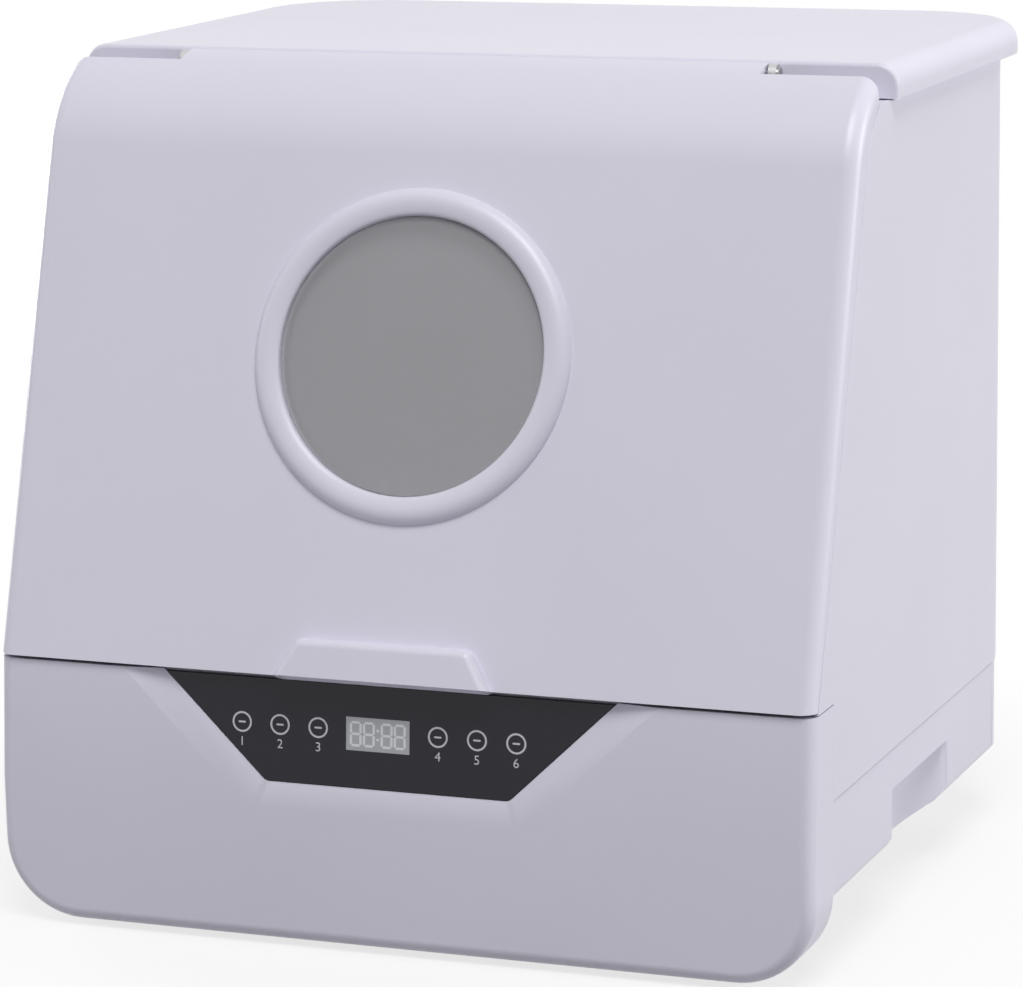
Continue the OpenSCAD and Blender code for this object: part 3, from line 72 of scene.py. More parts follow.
MM = 0.001
HALF_W = 210.0
TOP_Z = 422.0
SEAM_Z = 131.0
CREASE_Z = 71.0
WALL = 2.6
LID_Y, LID_Z = 2.0, 133.0
LID_LEAN = radians(16.1)
FRONT_LEAN = atan(4 / (SEAM_Z - CREASE_Z))
NOSE_R = 60.0
NOSE_Z = TOP_Z - NOSE_R
NOSE_RUN = (TOP_Z - NOSE_R - LID_Z + NOSE_R * sin(LID_LEAN)) / cos(LID_LEAN)
NOSE_Y = LID_Y + NOSE_RUN * sin(LID_LEAN) + NOSE_R * cos(LID_LEAN)
HINGE_Y = 122.0
NOTCH_Y = 108.0
TONGUE_HALF = 151.0
BEAD_R = 5.0
HINGE_Z = NOSE_Z + sqrt(NOSE_R ** 2 - (NOSE_Y - HINGE_Y) ** 2) - BEAD_R - 0.1
COVER_LOW_Z = 405.0
COVER_FRONT_Y = HINGE_Y + BEAD_R + 1
COVER_BACK_Y = 414.0
COVER_HALF = HALF_W + 4
COVER_R = 67.0
CHEEK_TOP_Z = COVER_LOW_Z - 27
JOINT_HALF = 0.4
WINDOW_UP = 0.616 * NOSE_RUN
FRONT_X = -4.5
WINDOW_R = 68.0
RING_R = 81.5
GLASS_TOP_W, GLASS_LOW_W, GLASS_H, GLASS_R = 232.0, 126.0, 50.5, 5.0
GLASS_SUNK, GLASS_T, BEVEL_W = 3.0, 2.5, 15.0
GLASS_LOW = (SEAM_Z - 0.6 - CREASE_Z) / cos(FRONT_LEAN) - GLASS_H
DISPLAY_X, DISPLAY_UP = -9.0, GLASS_LOW + 26.5
DISPLAY_W, DISPLAY_H = 33.0, 16.5
KEY_XS = sorted(DISPLAY_X + side * reach for side in (-1, 1) for reach in (31, 51, 71))
LID_HOLE_R = 70.0
LID_EDGE, COVER_EDGE, FASCIA_EDGE = 8.5, 11.5, 7.0
FASCIA_DEEP, FASCIA_R = 34.0, 40.0
TOOL_HALF = 230.0
INK = 0.04

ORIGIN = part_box("front_fascia")[0] + Vector((HALF_W * MM, 0, 0))


def at(x, y, z):
    """The frame's point for a place in millimetres."""
    return ORIGIN + Vector((x, y, z)) * MM


def on_lid(x, depth, up):
    """The frame's point at a depth and a height in the lid's sloping plane."""
    y = LID_Y + depth * cos(LID_LEAN) + up * sin(LID_LEAN)
    z = LID_Z + up * cos(LID_LEAN) - depth * sin(LID_LEAN)
    return at(x, y, z)


def on_front(x, depth, up):
    """The frame's point at a depth and a height in the front's sloping plane."""
    y = depth * cos(FRONT_LEAN) + up * sin(FRONT_LEAN)
    z = CREASE_Z + up * cos(FRONT_LEAN) - depth * sin(FRONT_LEAN)
    return at(x, y, z)


def through(plane, start, end):
    """The way from one depth to another, square to the lid's or the front's plane."""
    return plane(0, end, 0) - plane(0, start, 0)


def cheek_y(z):
    """How far back the joint between the lid and the case lies at a height."""
    return LID_Y + 7 + (z - SEAM_Z) * tan(radians(17.8))


# ---------------------------------------------------------------- outlines

def rounded(corners, radii, steps=8):
    """The outline through these corners, each turned with its radius in that many steps."""
    outline = []
    for index, (corner, radius) in enumerate(zip(corners, radii)):
        here = Vector(corner)
        if not radius:
            outline.append(tuple(here))
            continue
        before = (Vector(corners[index - 1]) - here).normalized()
        after = (Vector(corners[(index + 1) % len(corners)]) - here).normalized()
        half = acos(max(-1, min(1, before.dot(after)))) / 2
        centre = here + (before + after).normalized() * radius / sin(half)
        first = here + before * radius / tan(half) - centre
        last = here + after * radius / tan(half) - centre
        turn = atan2(first.x * last.y - first.y * last.x, first.dot(last))
        for step in range(steps + 1):
            angle = turn * step / steps
            outline.append((
                centre.x + first.x * cos(angle) - first.y * sin(angle),
                centre.y + first.x * sin(angle) + first.y * cos(angle),
            ))
    return outline


def circle(radius, steps, x, up):
    """A circle's outline round a point, in that many steps."""
    return [
        (x + radius * cos(step / steps * 2 * pi), up + radius * sin(step / steps * 2 * pi))
        for step in range(steps)
    ]


def glass_outline(grow, top=GLASS_H):
    """The touch panel's outline in the front's plane, grown on its three free sides."""
    slope = (GLASS_TOP_W - GLASS_LOW_W) / 2 / GLASS_H
    side = grow * hypot(1, slope)
    low = GLASS_LOW_W / 2 + side - grow * slope
    high = low + (top + grow) * slope
    corners = [(-low, -grow), (low, -grow), (high, top), (-high, top)]
    shape = rounded(corners, [GLASS_R, GLASS_R, 0, 0], 6)
    return [(FRONT_X + x, GLASS_LOW + up) for x, up in shape]


# ------------------------------------------------------- modelling by hand

def only(piece):
    """Makes this piece the one that the next tools work on."""
    if bpy.context.object and bpy.context.object.mode != "OBJECT":
        bpy.ops.object.mode_set(mode="OBJECT")
    bpy.ops.object.select_all(action="DESELECT")
    piece.select_set(True)
    bpy.context.view_layer.objects.active = piece


def flat_outline(name, points, filled=True):
    """Starts a piece as one flat outline through these points."""
    bpy.ops.object.select_all(action="DESELECT")
    fill = "NGON" if filled else "NOTHING"
    bpy.ops.mesh.primitive_circle_add(vertices=len(points), radius=0.01, fill_type=fill)
    piece = bpy.context.object
    piece.name = piece.data.name = name
    for vertex, point in zip(piece.data.vertices, points):
        vertex.co = point
    return piece


def pick(piece, kind, wanted):
    """Goes to edit mode and selects the vertices, edges or faces that pass the test."""
    if piece.mode != "EDIT":
        only(piece)
        bpy.ops.object.mode_set(mode="EDIT")
    bpy.ops.mesh.select_mode(type=kind)
    bpy.ops.mesh.select_all(action="DESELECT")
    shape = bmesh.from_edit_mesh(piece.data)
    shape.normal_update()
    for part in {"VERT": shape.verts, "EDGE": shape.edges, "FACE": shape.faces}[kind]:
        if wanted(part):
            part.select_set(True)
    shape.select_flush_mode()
    bmesh.update_edit_mesh(piece.data)


def everything(part):
    return True


def push(offset):
    """Extrudes what is selected."""
    bpy.ops.mesh.extrude_region_move(TRANSFORM_OT_translate={"value": tuple(offset)})


def soften_edges(width, steps):
    """Bevels the selected edges by a width in millimetres."""
    bpy.ops.mesh.bevel(offset=width * MM, segments=steps, affect="EDGES", clamp_overlap=True)


def turn_outwards(piece):
    """Merges what lies at one place and turns all faces outwards."""
    pick(piece, "FACE", everything)
    bpy.ops.mesh.remove_doubles(threshold=1e-6)
    bpy.ops.mesh.normals_make_consistent(inside=False)
    bpy.ops.object.mode_set(mode="OBJECT")


def block(name, points, offset):
    """A solid with this outline, pushed out by the offset."""
    piece = flat_outline(name, points)
    pick(piece, "FACE", everything)
    push(offset)
    turn_outwards(piece)
    return piece


def modify(piece, kind, **settings):
    """Adds a modifier with these settings and applies it."""
    only(piece)
    modifier = piece.modifiers.new(kind.lower(), kind)
    for name, value in settings.items():
        setattr(modifier, name, value)
    bpy.ops.object.modifier_apply(modifier=modifier.name)


def carve(piece, tool, operation="DIFFERENCE"):
    """Cuts a tool out of a piece, or joins the two, and puts the tool away."""
    modify(piece, "BOOLEAN", object=tool, operation=operation, solver="EXACT")
    bpy.data.objects.remove(tool)


def thicken(piece, wall, open_face):
    """Opens the faces that pass the test and gives the rest a wall inwards."""
    pick(piece, "FACE", open_face)
    bpy.ops.mesh.delete(type="FACE")
    bpy.ops.object.mode_set(mode="OBJECT")
    modify(piece, "SOLIDIFY", thickness=wall * MM, offset=-1, use_even_offset=True)


def done(piece, body, finish, replaced=(), smooth=35):
    """Shades a finished piece, gives it its finish and its body, and hides what it stands for."""
    only(piece)
    piece.data.materials.clear()
    piece.data.materials.append(FINISHES[finish])
    bpy.ops.object.shade_smooth_by_angle(angle=radians(smooth))
    modify(piece, "WEIGHTED_NORMAL", keep_sharp=True, weight=50)
    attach(piece, body)
    if replaced:
        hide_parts(*([replaced] if isinstance(replaced, str) else replaced))
    return piece


def spun(name, profile, centre, axis):
    """A ring made by turning a closed profile once round an axis."""
    steps = 144
    piece = flat_outline(name, profile, filled=False)
    pick(piece, "VERT", everything)
    bpy.ops.mesh.spin(steps=steps, angle=2 * pi, center=tuple(centre), axis=tuple(axis))
    turn_outwards(piece)
    return piece


# ---------------------------------------------------------------- finishes

class Level:
    """A number that changes over a surface, so that sums can be written on it."""

    def __init__(self, finish, socket):
        self.finish = finish
        self.socket = socket

    def maths(self, operation, *values):
        return self.finish.add("Math", {"operation": operation}, dict(enumerate(values)))

    def __add__(self, other):
        return self.maths("ADD", self, other)

    def __mul__(self, other):
        return self.maths("MULTIPLY", self, other)

    __radd__ = __add__
    __rmul__ = __mul__


class Finish:
    """One material, built from its Principled shader and one method that adds nodes."""

    def __init__(self, name, **constants):
        self.material = bpy.data.materials.new(name)
        self.material.use_nodes = True
        self.tree = self.material.node_tree
        self.shader = self.tree.nodes["Principled BSDF"]
        for socket, value in constants.items():
            self.shader.inputs[socket.replace("_", " ")].default_value = value
        FINISHES[name] = self.material

    def feed(self, socket, value):
        if isinstance(value, Level):
            self.tree.links.new(value.socket, socket)
        else:
            socket.default_value = value

    def add(self, kind, settings, inputs, output=0):
        node = self.tree.nodes.new("ShaderNode" + kind)
        stops = settings.pop("stops", None)
        for name, value in settings.items():
            setattr(node, name, value)
        if stops:
            while len(node.color_ramp.elements) < len(stops):
                node.color_ramp.elements.new(0.5)
            for element, (position, tone) in zip(node.color_ramp.elements, stops):
                element.position = position
                element.color = tone
        for name, value in inputs.items():
            self.feed(node.inputs[name], value)
        return Level(self, node.outputs[output])

    def place(self, stretch=(1, 1, 1)):
        spot = self.add("TexCoord", {}, {}, "Object")
        return self.add("Mapping", {}, {"Vector": spot, "Scale": stretch})

    def clouds(self, size, detail=2.0, stretch=(1, 1, 1)):
        """Noise whose lumps are about this many millimetres across."""
        return self.add("TexNoise", {}, {
            "Vector": self.place(stretch), "Scale": 1000 / size, "Detail": detail,
        })

    def tones(self, mask, low, high):
        """A colour between two others, as the mask goes from 0 to 1."""
        return self.add("Mix", {"data_type": "RGBA"}, {0: mask, 6: (*low, 1), 7: (*high, 1)}, 2)

    def colour(self, value):
        self.feed(self.shader.inputs["Base Color"], value)

    def rough(self, value):
        self.feed(self.shader.inputs["Roughness"], value)

    def relief(self, height, depth):
        """Bumps of about this depth, in millimetres."""
        bump = self.add("Bump", {}, {"Strength": 1.0, "Distance": depth * MM, "Height": height})
        self.feed(self.shader.inputs["Normal"], bump)


FINISHES = {}


def darker(colour, share):
    return tuple(channel * share for channel in colour)


def moulded(name, colour, roughness, grain=0.6, depth=0.006, spread=0.03, **constants):
    """Moulded plastic: a slow drift of tone, a soft change of gloss and a fine grain."""
    finish = Finish(name, **constants)
    drift = finish.clouds(110, 3.0)
    finish.colour(finish.tones(drift, darker(colour, 1 - spread), darker(colour, 1 + spread)))
    patches = finish.clouds(28, 4.0)
    finish.rough(patches * 0.08 + (roughness - 0.04))
    finish.relief(finish.clouds(grain, 2.0), depth)


def brushed(name, colour, roughness, stretch=(1, 30, 30)):
    """Sheet steel with fine lines along one direction."""
    finish = Finish(name, Metallic=1.0)
    lines = finish.clouds(9, 4.0, stretch)
    finish.colour(finish.tones(lines, darker(colour, 0.9), colour))
    finish.rough(lines * 0.16 + (roughness - 0.08))
    finish.relief(lines, 0.004)


SHELL = (0.78, 0.76, 0.865)
moulded("white_shell", SHELL, 0.36)
moulded("white_satin", darker(SHELL, 0.97), 0.5, grain=0.9, depth=0.012)
moulded("dark_plastic", (0.016, 0.016, 0.019), 0.45, grain=0.8, depth=0.015, spread=0.1)
moulded("grey_plastic", (0.30, 0.295, 0.32), 0.42, grain=0.9, depth=0.01)
moulded("grey_rubber", (0.07, 0.07, 0.075), 0.72, grain=0.5, depth=0.02, spread=0.08)
moulded("coated_wire", (0.66, 0.66, 0.69), 0.3, grain=1.5, depth=0.01)
moulded("grey_lens", (0.46, 0.47, 0.50), 0.22, grain=3.0, depth=0.002)
moulded(
    "black_glass", (0.009, 0.0082, 0.0175), 0.16, grain=40, depth=0.001, spread=0.06,
    Specular_IOR_Level=0.35,
)
moulded("lit_mark", (0.80, 0.80, 0.82), 0.4, grain=2.0, depth=0.002)
moulded("print_white", (0.62, 0.62, 0.65), 0.5, grain=2.0, depth=0.002)
moulded("smoke_pane", (0.70, 0.69, 0.72), 0.07, grain=60, depth=0.001, Alpha=0.4)
brushed("stainless", (0.60, 0.60, 0.61), 0.34)
brushed("bright_steel", (0.42, 0.42, 0.43), 0.3, stretch=(1, 8, 8))


def board_finish():
    """A circuit board: green resist with paler copper runs under it."""
    finish = Finish("green_board", Roughness=0.35)
    runs = finish.add("TexBrick", {}, {
        "Vector": finish.place(), "Scale": 90.0, "Mortar Size": 0.03,
    }, 1)
    finish.colour(finish.tones(runs, (0.012, 0.09, 0.035), (0.03, 0.17, 0.07)))
    finish.relief(runs, 0.03)


board_finish()

SLOT_OF = {part["node"]: part["material_slot"] for part in frame["record"]["subparts"]}
for node, solid in frame["nodes"].items():
    solid.data.materials.clear()
    solid.data.materials.append(FINISHES[SLOT_OF[node]])


def merged_copy(node, smooth=35, edge=0.0):
    """A CAD solid's own shape with its triangles merged, its edges softened and smooth shading."""
    flat = 1.5
    source = frame["nodes"][node]
    only(source)
    piece = bpy.data.objects.new(node + "_finished", source.data.copy())
    bpy.context.scene.collection.objects.link(piece)
    for key in list(piece.keys()):
        del piece[key]
    pick(piece, "FACE", everything)
    bpy.ops.mesh.remove_doubles(threshold=1e-6)
    bpy.ops.mesh.dissolve_limited(angle_limit=radians(flat))
    bpy.ops.object.mode_set(mode="OBJECT")
    if edge:
        sharp = {"limit_method": "ANGLE", "angle_limit": radians(40)}
        modify(piece, "BEVEL", width=edge * MM, segments=3, **sharp)
    body = source["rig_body"]
    return done(piece, body, SLOT_OF[node], node, smooth)


# --------------------------------------------------------------------- lid

def lid_skin():
    """The lid's leaning front and rounded nose as one thin wall, with its hinge bead and opening."""
    steps, end = 20, acos((NOSE_Y - HINGE_Y) / NOSE_R)
    arc = []
    for step in range(steps + 1):
        turn = LID_LEAN + step / steps * (end - LID_LEAN)
        arc.append(at(-HALF_W, NOSE_Y - NOSE_R * cos(turn), NOSE_Z + NOSE_R * sin(turn)))
    foot = at(-HALF_W, LID_Y, LID_Z)
    skin = block("lid_skin", [foot, *arc, at(-HALF_W, HINGE_Y, LID_Z)], (2 * HALF_W * MM, 0, 0))
    sides = {round(ORIGIN.x - HALF_W * MM, 5), round(ORIGIN.x + HALF_W * MM, 5)}
    back = at(0, HINGE_Y, 0).y

    def along_front(edge):
        ends = [vertex.co for vertex in edge.verts]
        if any(round(end.x, 5) not in sides for end in ends) or ends[0].x * ends[1].x < 0:
            return False
        at_back = all(end.y > back - 1e-5 for end in ends)
        at_foot = all(end.z < foot.z + 1e-5 for end in ends)
        return not at_back and not at_foot

    pick(skin, "EDGE", along_front)
    soften_edges(LID_EDGE, 7)
    bpy.ops.object.mode_set(mode="OBJECT")
    joint = [
        (cheek_y(100) - JOINT_HALF, 100), (cheek_y(CHEEK_TOP_Z) - JOINT_HALF, CHEEK_TOP_Z),
        (cheek_y(CHEEK_TOP_Z) + 8 - JOINT_HALF, CHEEK_TOP_Z + 15),
        (NOTCH_Y - JOINT_HALF, COVER_LOW_Z - 1), (NOTCH_Y - JOINT_HALF, COVER_LOW_Z),
        (250, COVER_LOW_Z), (250, 100),
    ]
    tool = block("joint_tool", [at(-TOOL_HALF, y, z) for y, z in joint], (2 * TOOL_HALF * MM, 0, 0))
    carve(skin, tool)
    for side in (-1, 1):
        notch = [(TONGUE_HALF, NOTCH_Y), (TOOL_HALF, NOTCH_Y), (TOOL_HALF, 160), (TONGUE_HALF, 160)]
        carve(skin, block("notch_tool", [at(side * x, y, 390) for x, y in notch], (0, 0, 60 * MM)))

    def inner(face):
        normal, middle = face.normal, face.calc_center_median()
        outer = normal.y < -0.01 or (abs(normal.x) > 0.5 and abs(middle.x) > 0.205)
        return not outer

    thicken(skin, WALL, inner)
    bead = [at(-TONGUE_HALF, y, z) for y, z in circle(BEAD_R, 24, HINGE_Y, HINGE_Z)]
    carve(skin, block("bead_tool", bead, (2 * TONGUE_HALF * MM, 0, 0)), "UNION")
    hole = [on_lid(x, -20, up) for x, up in circle(LID_HOLE_R, 96, FRONT_X, WINDOW_UP)]
    carve(skin, block("window_tool", hole, through(on_lid, -20, 20)))
    return done(skin, "lid", "white_shell", "lid_outer", 28)


def window_ring():
    """The ring's round section, from its outer foot over the crown and down into the opening."""
    section = [
        (RING_R, 0.02), (RING_R, 0.35), (RING_R - 0.4, 1.3), (RING_R - 1.2, 2.5), (RING_R - 2.4, 3.5),
        (RING_R - 3.9, 4.3), (RING_R - 5.6, 4.7), (RING_R - 7.4, 4.7), (RING_R - 9.2, 4.4),
        (RING_R - 11.0, 3.9), (WINDOW_R + 1.4, 3.4), (WINDOW_R + 0.5, 2.9), (WINDOW_R, 2.0),
        (WINDOW_R, -4.0), (WINDOW_R + 1.8, -4.0), (WINDOW_R + 1.8, 0.02),
    ]
    centre = on_lid(FRONT_X, 0, WINDOW_UP)
    profile = [on_lid(FRONT_X + radius, -proud, WINDOW_UP) for radius, proud in section]
    ring = spun("window_ring_lip", profile, centre, through(on_lid, 0, -1).normalized())
    return done(ring, "lid", "white_shell", "window_ring", 50)


def window_pane():
    """The clear pane: a flange behind the lid and a plug that fills the ring nearly to its lip."""
    low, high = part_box("window_pane")
    reach = (high.x - low.x) / 2 / MM

    def disc(radius, depth, thick):
        outline = [on_lid(x, depth, up) for x, up in circle(radius, 128, FRONT_X, WINDOW_UP)]
        return block("pane_disc", outline, through(on_lid, 0, -thick))

    pane = disc(WINDOW_R - 0.3, 5, 5.6)
    face = on_lid(0, -0.6, 0)
    inward = through(on_lid, 0, 1).normalized()
    pick(pane, "EDGE", lambda e: all((v.co - face).dot(inward) < 1e-5 for v in e.verts))
    soften_edges(0.5, 2)
    bpy.ops.object.mode_set(mode="OBJECT")
    carve(pane, disc(reach, 7.1, 3), "UNION")
    return done(pane, "lid", "smoke_pane", "window_pane", 30)


def handle():
    """A raised trapezoid with rounded edges, hollow and open below for the fingers."""
    foot, head, high, proud, back, wall = 55.5, 44.5, 19.0, 7.0, 4.2, 2.2
    outline = rounded([(-foot, 0), (foot, 0), (head, high), (-head, high)], [0, 0, 6, 6], 6)
    shape = [on_lid(FRONT_X + x, back, up) for x, up in outline]
    boss = block("handle_boss", shape, through(on_lid, back, -proud))
    face = on_lid(0, -proud, 0)
    inward = through(on_lid, 0, 1).normalized()
    bottom = on_lid(0, 0, 0)
    upward = (on_lid(0, 0, 1) - on_lid(0, 0, 0)).normalized()

    def rim(edge):
        ends = [vertex.co for vertex in edge.verts]
        if any((end - face).dot(inward) > 1e-5 for end in ends):
            return False
        return not all((end - bottom).dot(upward) < 1e-5 for end in ends)

    pick(boss, "EDGE", rim)
    soften_edges(4.5, 6)
    bpy.ops.object.mode_set(mode="OBJECT")
    thicken(boss, wall, lambda f: f.normal.dot(upward) < -0.9)
    return done(boss, "lid", "white_shell", "lid_handle", 40)


# -------------------------------------------------------------------- case

def cover():
    """The overhanging top cover, rounded behind, with a soft edge and a recess underneath."""
    corners = [
        (-COVER_HALF, COVER_FRONT_Y), (COVER_HALF, COVER_FRONT_Y),
        (COVER_HALF, COVER_BACK_Y), (-COVER_HALF, COVER_BACK_Y),
    ]
    plan = rounded(corners, [0, 0, COVER_R, COVER_R], 20)
    shape = [at(x, y, COVER_LOW_Z) for x, y in plan]
    slab = block("top_cover_skin", shape, (0, 0, (TOP_Z - COVER_LOW_Z) * MM))
    top, front = at(0, 0, TOP_Z).z, at(0, COVER_FRONT_Y, 0).y

    def on_top(edge):
        ends = [vertex.co for vertex in edge.verts]
        return all(end.z > top - 1e-5 for end in ends) and not all(end.y < front + 1e-5 for end in ends)

    pick(slab, "EDGE", on_top)
    soften_edges(COVER_EDGE, 8)
    low = at(0, 0, COVER_LOW_Z).z

    def on_face(edge):
        ends = [vertex.co for vertex in edge.verts]
        return all(end.y < front + 1e-5 for end in ends) and not all(end.z < low + 1e-5 for end in ends)

    pick(slab, "EDGE", on_face)
    soften_edges(2.2, 4)
    pick(slab, "FACE", lambda f: f.normal.z < -0.9)
    bpy.ops.mesh.inset(thickness=12 * MM)
    push((0, 0, 13 * MM))
    pick(slab, "EDGE", lambda e: all(v.co.z < low + 1e-5 for v in e.verts))
    soften_edges(0.8, 2)
    bpy.ops.object.mode_set(mode="OBJECT")
    left, right = at(-COVER_HALF, 0, 0).x, at(COVER_HALF, 0, 0).x
    for vertex in slab.data.vertices:
        vertex.co.x = min(max(vertex.co.x, left), right)
    return done(slab, "case", "white_shell", "top_cover", 35)


def sloping_border_tool():
    """Three rings of the panel's outline, two of them wider, joined by slopes and closed."""
    rings = []
    for grow, depth in ((0.9, GLASS_SUNK), (BEVEL_W, 0), (BEVEL_W, -3)):
        rings.append(flat_outline("border_ring", [
            on_front(x, depth, up) for x, up in glass_outline(grow, GLASS_H + 8)
        ], filled=False))
    only(rings[0])
    for ring in rings:
        ring.select_set(True)
    bpy.ops.object.join()
    tool = bpy.context.object
    pick(tool, "EDGE", everything)
    bpy.ops.mesh.bridge_edge_loops()
    ends = (on_front(0, GLASS_SUNK, 0), on_front(0, -3, 0))
    inward = through(on_front, 0, 1).normalized()
    for end in ends:
        pick(tool, "EDGE", lambda e: all(abs((v.co - end).dot(inward)) < 1e-6 for v in e.verts))
        bpy.ops.mesh.edge_face_add()
    turn_outwards(tool)
    return tool


def fascia():
    """The base's front, creased and round at its lower corners, with the panel's bevelled pocket."""
    corners = [(-HALF_W, 0), (HALF_W, 0), (HALF_W, SEAM_Z), (-HALF_W, SEAM_Z)]
    shape = rounded(corners, [FASCIA_R, FASCIA_R, 0, 0], 16)
    base = block("base_front", [at(x, FASCIA_DEEP, z) for x, z in shape], (0, -FASCIA_DEEP * MM, 0))
    pick(base, "FACE", everything)
    crease = at(0, 0, CREASE_Z)
    bpy.ops.mesh.bisect(plane_co=tuple(crease), plane_no=(0, 0, 1))
    bpy.ops.object.mode_set(mode="OBJECT")
    for vertex in base.data.vertices:
        if vertex.co.y < crease.y + 1e-5:
            up = (vertex.co.z - crease.z) / MM
            vertex.co.y += MM * (up * 4 / (SEAM_Z - CREASE_Z) if up > 0 else -up * 1.5 / CREASE_Z)
    top = at(0, 0, SEAM_Z).z

    def rim(edge):
        ends = [vertex.co for vertex in edge.verts]
        if any(end.y > at(0, 5, 0).y for end in ends):
            return False
        if all(end.z > top - 1e-5 for end in ends):
            return False
        return not all(abs(end.z - crease.z) < 1e-6 for end in ends)

    pick(base, "EDGE", rim)
    soften_edges(FASCIA_EDGE, 7)
    bpy.ops.object.mode_set(mode="OBJECT")
    carve(base, sloping_border_tool())
    pocket = [on_front(x, -1, up) for x, up in glass_outline(0.25, GLASS_H + 8)]
    carve(base, block("pocket_tool", pocket, through(on_front, 0, GLASS_SUNK + GLASS_T + 1.1)))
    back = at(0, FASCIA_DEEP - 0.1, 0).y
    thicken(base, WALL, lambda f: f.normal.y > 0.9 and f.calc_center_median().y > back)
    return done(base, "case", "white_shell", "front_fascia", 20)


def touch_glass():
    """The black touch panel, with the display's window cut through it."""
    shape = [on_front(x, GLASS_SUNK + GLASS_T, up) for x, up in glass_outline(0)]
    glass = block("touch_glass", shape, through(on_front, 0, -GLASS_T))
    face = on_front(0, GLASS_SUNK, 0)
    inward = through(on_front, 0, 1).normalized()
    pick(glass, "EDGE", lambda e: all((v.co - face).dot(inward) < 1e-5 for v in e.verts))
    soften_edges(0.4, 2)
    bpy.ops.object.mode_set(mode="OBJECT")
    half_w, half_h = DISPLAY_W / 2, DISPLAY_H / 2
    corners = [(-half_w, -half_h), (half_w, -half_h), (half_w, half_h), (-half_w, half_h)]
    hole = [
        on_front(DISPLAY_X + x, GLASS_SUNK + 1, DISPLAY_UP + up)
        for x, up in rounded(corners, [0.4] * 4, 2)
    ]
    carve(glass, block("display_tool", hole, through(on_front, 0, -3)))
    return done(glass, "case", "black_glass", "control_glass", 30)


def printed(outline):
    """One thin flat mark on the touch glass."""
    shape = [on_front(x, GLASS_SUNK, up) for x, up in outline]
    return block("print_mark", shape, through(on_front, 0, -INK))


def joined(parts, name, finish):
    """Makes one finished piece of these parts."""
    only(parts[0])
    for part in parts:
        part.select_set(True)
    bpy.ops.object.join()
    piece = bpy.context.object
    piece.name = piece.data.name = name
    return done(piece, "case", finish, smooth=30)


def segment(x, up, long, wide, level):
    """One bar of a digit, pointed at both ends."""
    half, tip = long / 2, wide / 2
    bar = [
        (-half, 0), (-half + tip, -tip), (half - tip, -tip),
        (half, 0), (half - tip, tip), (-half + tip, tip),
    ]
    return [(x + (a if level else b), up + (b if level else a)) for a, b in bar]


def display_digits():
    """Four plain eights with a colon between them."""
    bars = []
    tall, wide, thick, gap, dot_r = 11.2, 5.0, 1.25, 0.3, 0.75
    for middle in (-11.4, -4.6, 4.6, 11.4):
        x = DISPLAY_X + middle
        for up in (-tall / 2, 0, tall / 2):
            bars.append(segment(x, DISPLAY_UP + up, wide - gap, thick, True))
        for side in (-1, 1):
            for up in (-tall / 4, tall / 4):
                edge = x + side * wide / 2
                bars.append(segment(edge, DISPLAY_UP + up, tall / 2 - gap, thick, False))
    for up in (-2.2, 2.2):
        bars.append(circle(dot_r, 10, DISPLAY_X, DISPLAY_UP + up))
    return joined([printed(bar) for bar in bars], "display_digits", "lit_mark")


def key_marks():
    """Six printed rings, each with a plain bar in it and a plain number under it."""
    parts = []
    up, ring_r, ring_line, number_down = DISPLAY_UP + 1.5, 5.1, 0.95, 11.6
    bar = rounded([(-1.9, -0.45), (1.9, -0.45), (1.9, 0.45), (-1.9, 0.45)], [0.3] * 4, 2)
    for index, x in enumerate(KEY_XS):
        outline = [on_front(a, GLASS_SUNK, b) for a, b in circle(ring_r, 40, x, up)]
        ring = flat_outline("key_ring", outline)
        pick(ring, "FACE", everything)
        bpy.ops.mesh.inset(thickness=ring_line * MM)
        bpy.ops.mesh.delete(type="FACE")
        pick(ring, "FACE", everything)
        push(through(on_front, 0, -INK))
        turn_outwards(ring)
        parts += [ring, printed([(x + a, up + b) for a, b in bar])]
        bpy.ops.object.select_all(action="DESELECT")
        bpy.ops.object.text_add()
        number = bpy.context.object
        number.data.body = str(index + 1)
        number.data.size = 6.4
        number.data.extrude = INK / 2
        number.data.align_x = "CENTER"
        bpy.ops.object.convert(target="MESH")
        number = bpy.context.object
        for vertex in number.data.vertices:
            a, b, c = vertex.co
            vertex.co = on_front(x + a, GLASS_SUNK - INK / 2 - c, up - number_down + b)
        parts.append(number)
    return joined(parts, "key_marks", "print_white")


lid_skin()
window_ring()
window_pane()
handle()
cover()
fascia()
touch_glass()
display_digits()
key_marks()
for node in ("side_panel_left", "side_panel_right", "base_pan", "back_panel"):
    merged_copy(node, 30, 0.7)
for node in ("lid_liner", "window_clamp", "tub", "spray_arm", "spray_hub", "arm_nut", "feet"):
    merged_copy(node, 35)


# ------------------------------------------------------ camera and studio

MIDDLE = at(0, 200, 200)


def camera():
    """The photograph's own viewing angle, distance and framing."""
    yaw, pitch, roll = radians(20.51), radians(10.97), radians(-0.69)
    distance, photo_w = 2.27995, 1022
    away = Vector((sin(yaw) * cos(pitch), -cos(yaw) * cos(pitch), sin(pitch)))
    right = Vector((cos(yaw), sin(yaw), 0))
    up = away.cross(right)
    level = right * cos(roll) + up * sin(roll)
    tall = up * cos(roll) - right * sin(roll)
    place = MIDDLE + away * distance
    eye = bpy.data.cameras.new("camera")
    eye.sensor_width = 36
    eye.lens = 155.91
    eye.shift_x, eye.shift_y = -23.34 / photo_w, -22.88 / photo_w
    eye.clip_end = 50
    stand = bpy.data.objects.new("camera", eye)
    bpy.context.scene.collection.objects.link(stand)
    turn = Matrix((level, tall, away)).transposed().to_4x4()
    stand.matrix_world = Matrix.Translation(place) @ turn
    bpy.context.scene.camera = stand


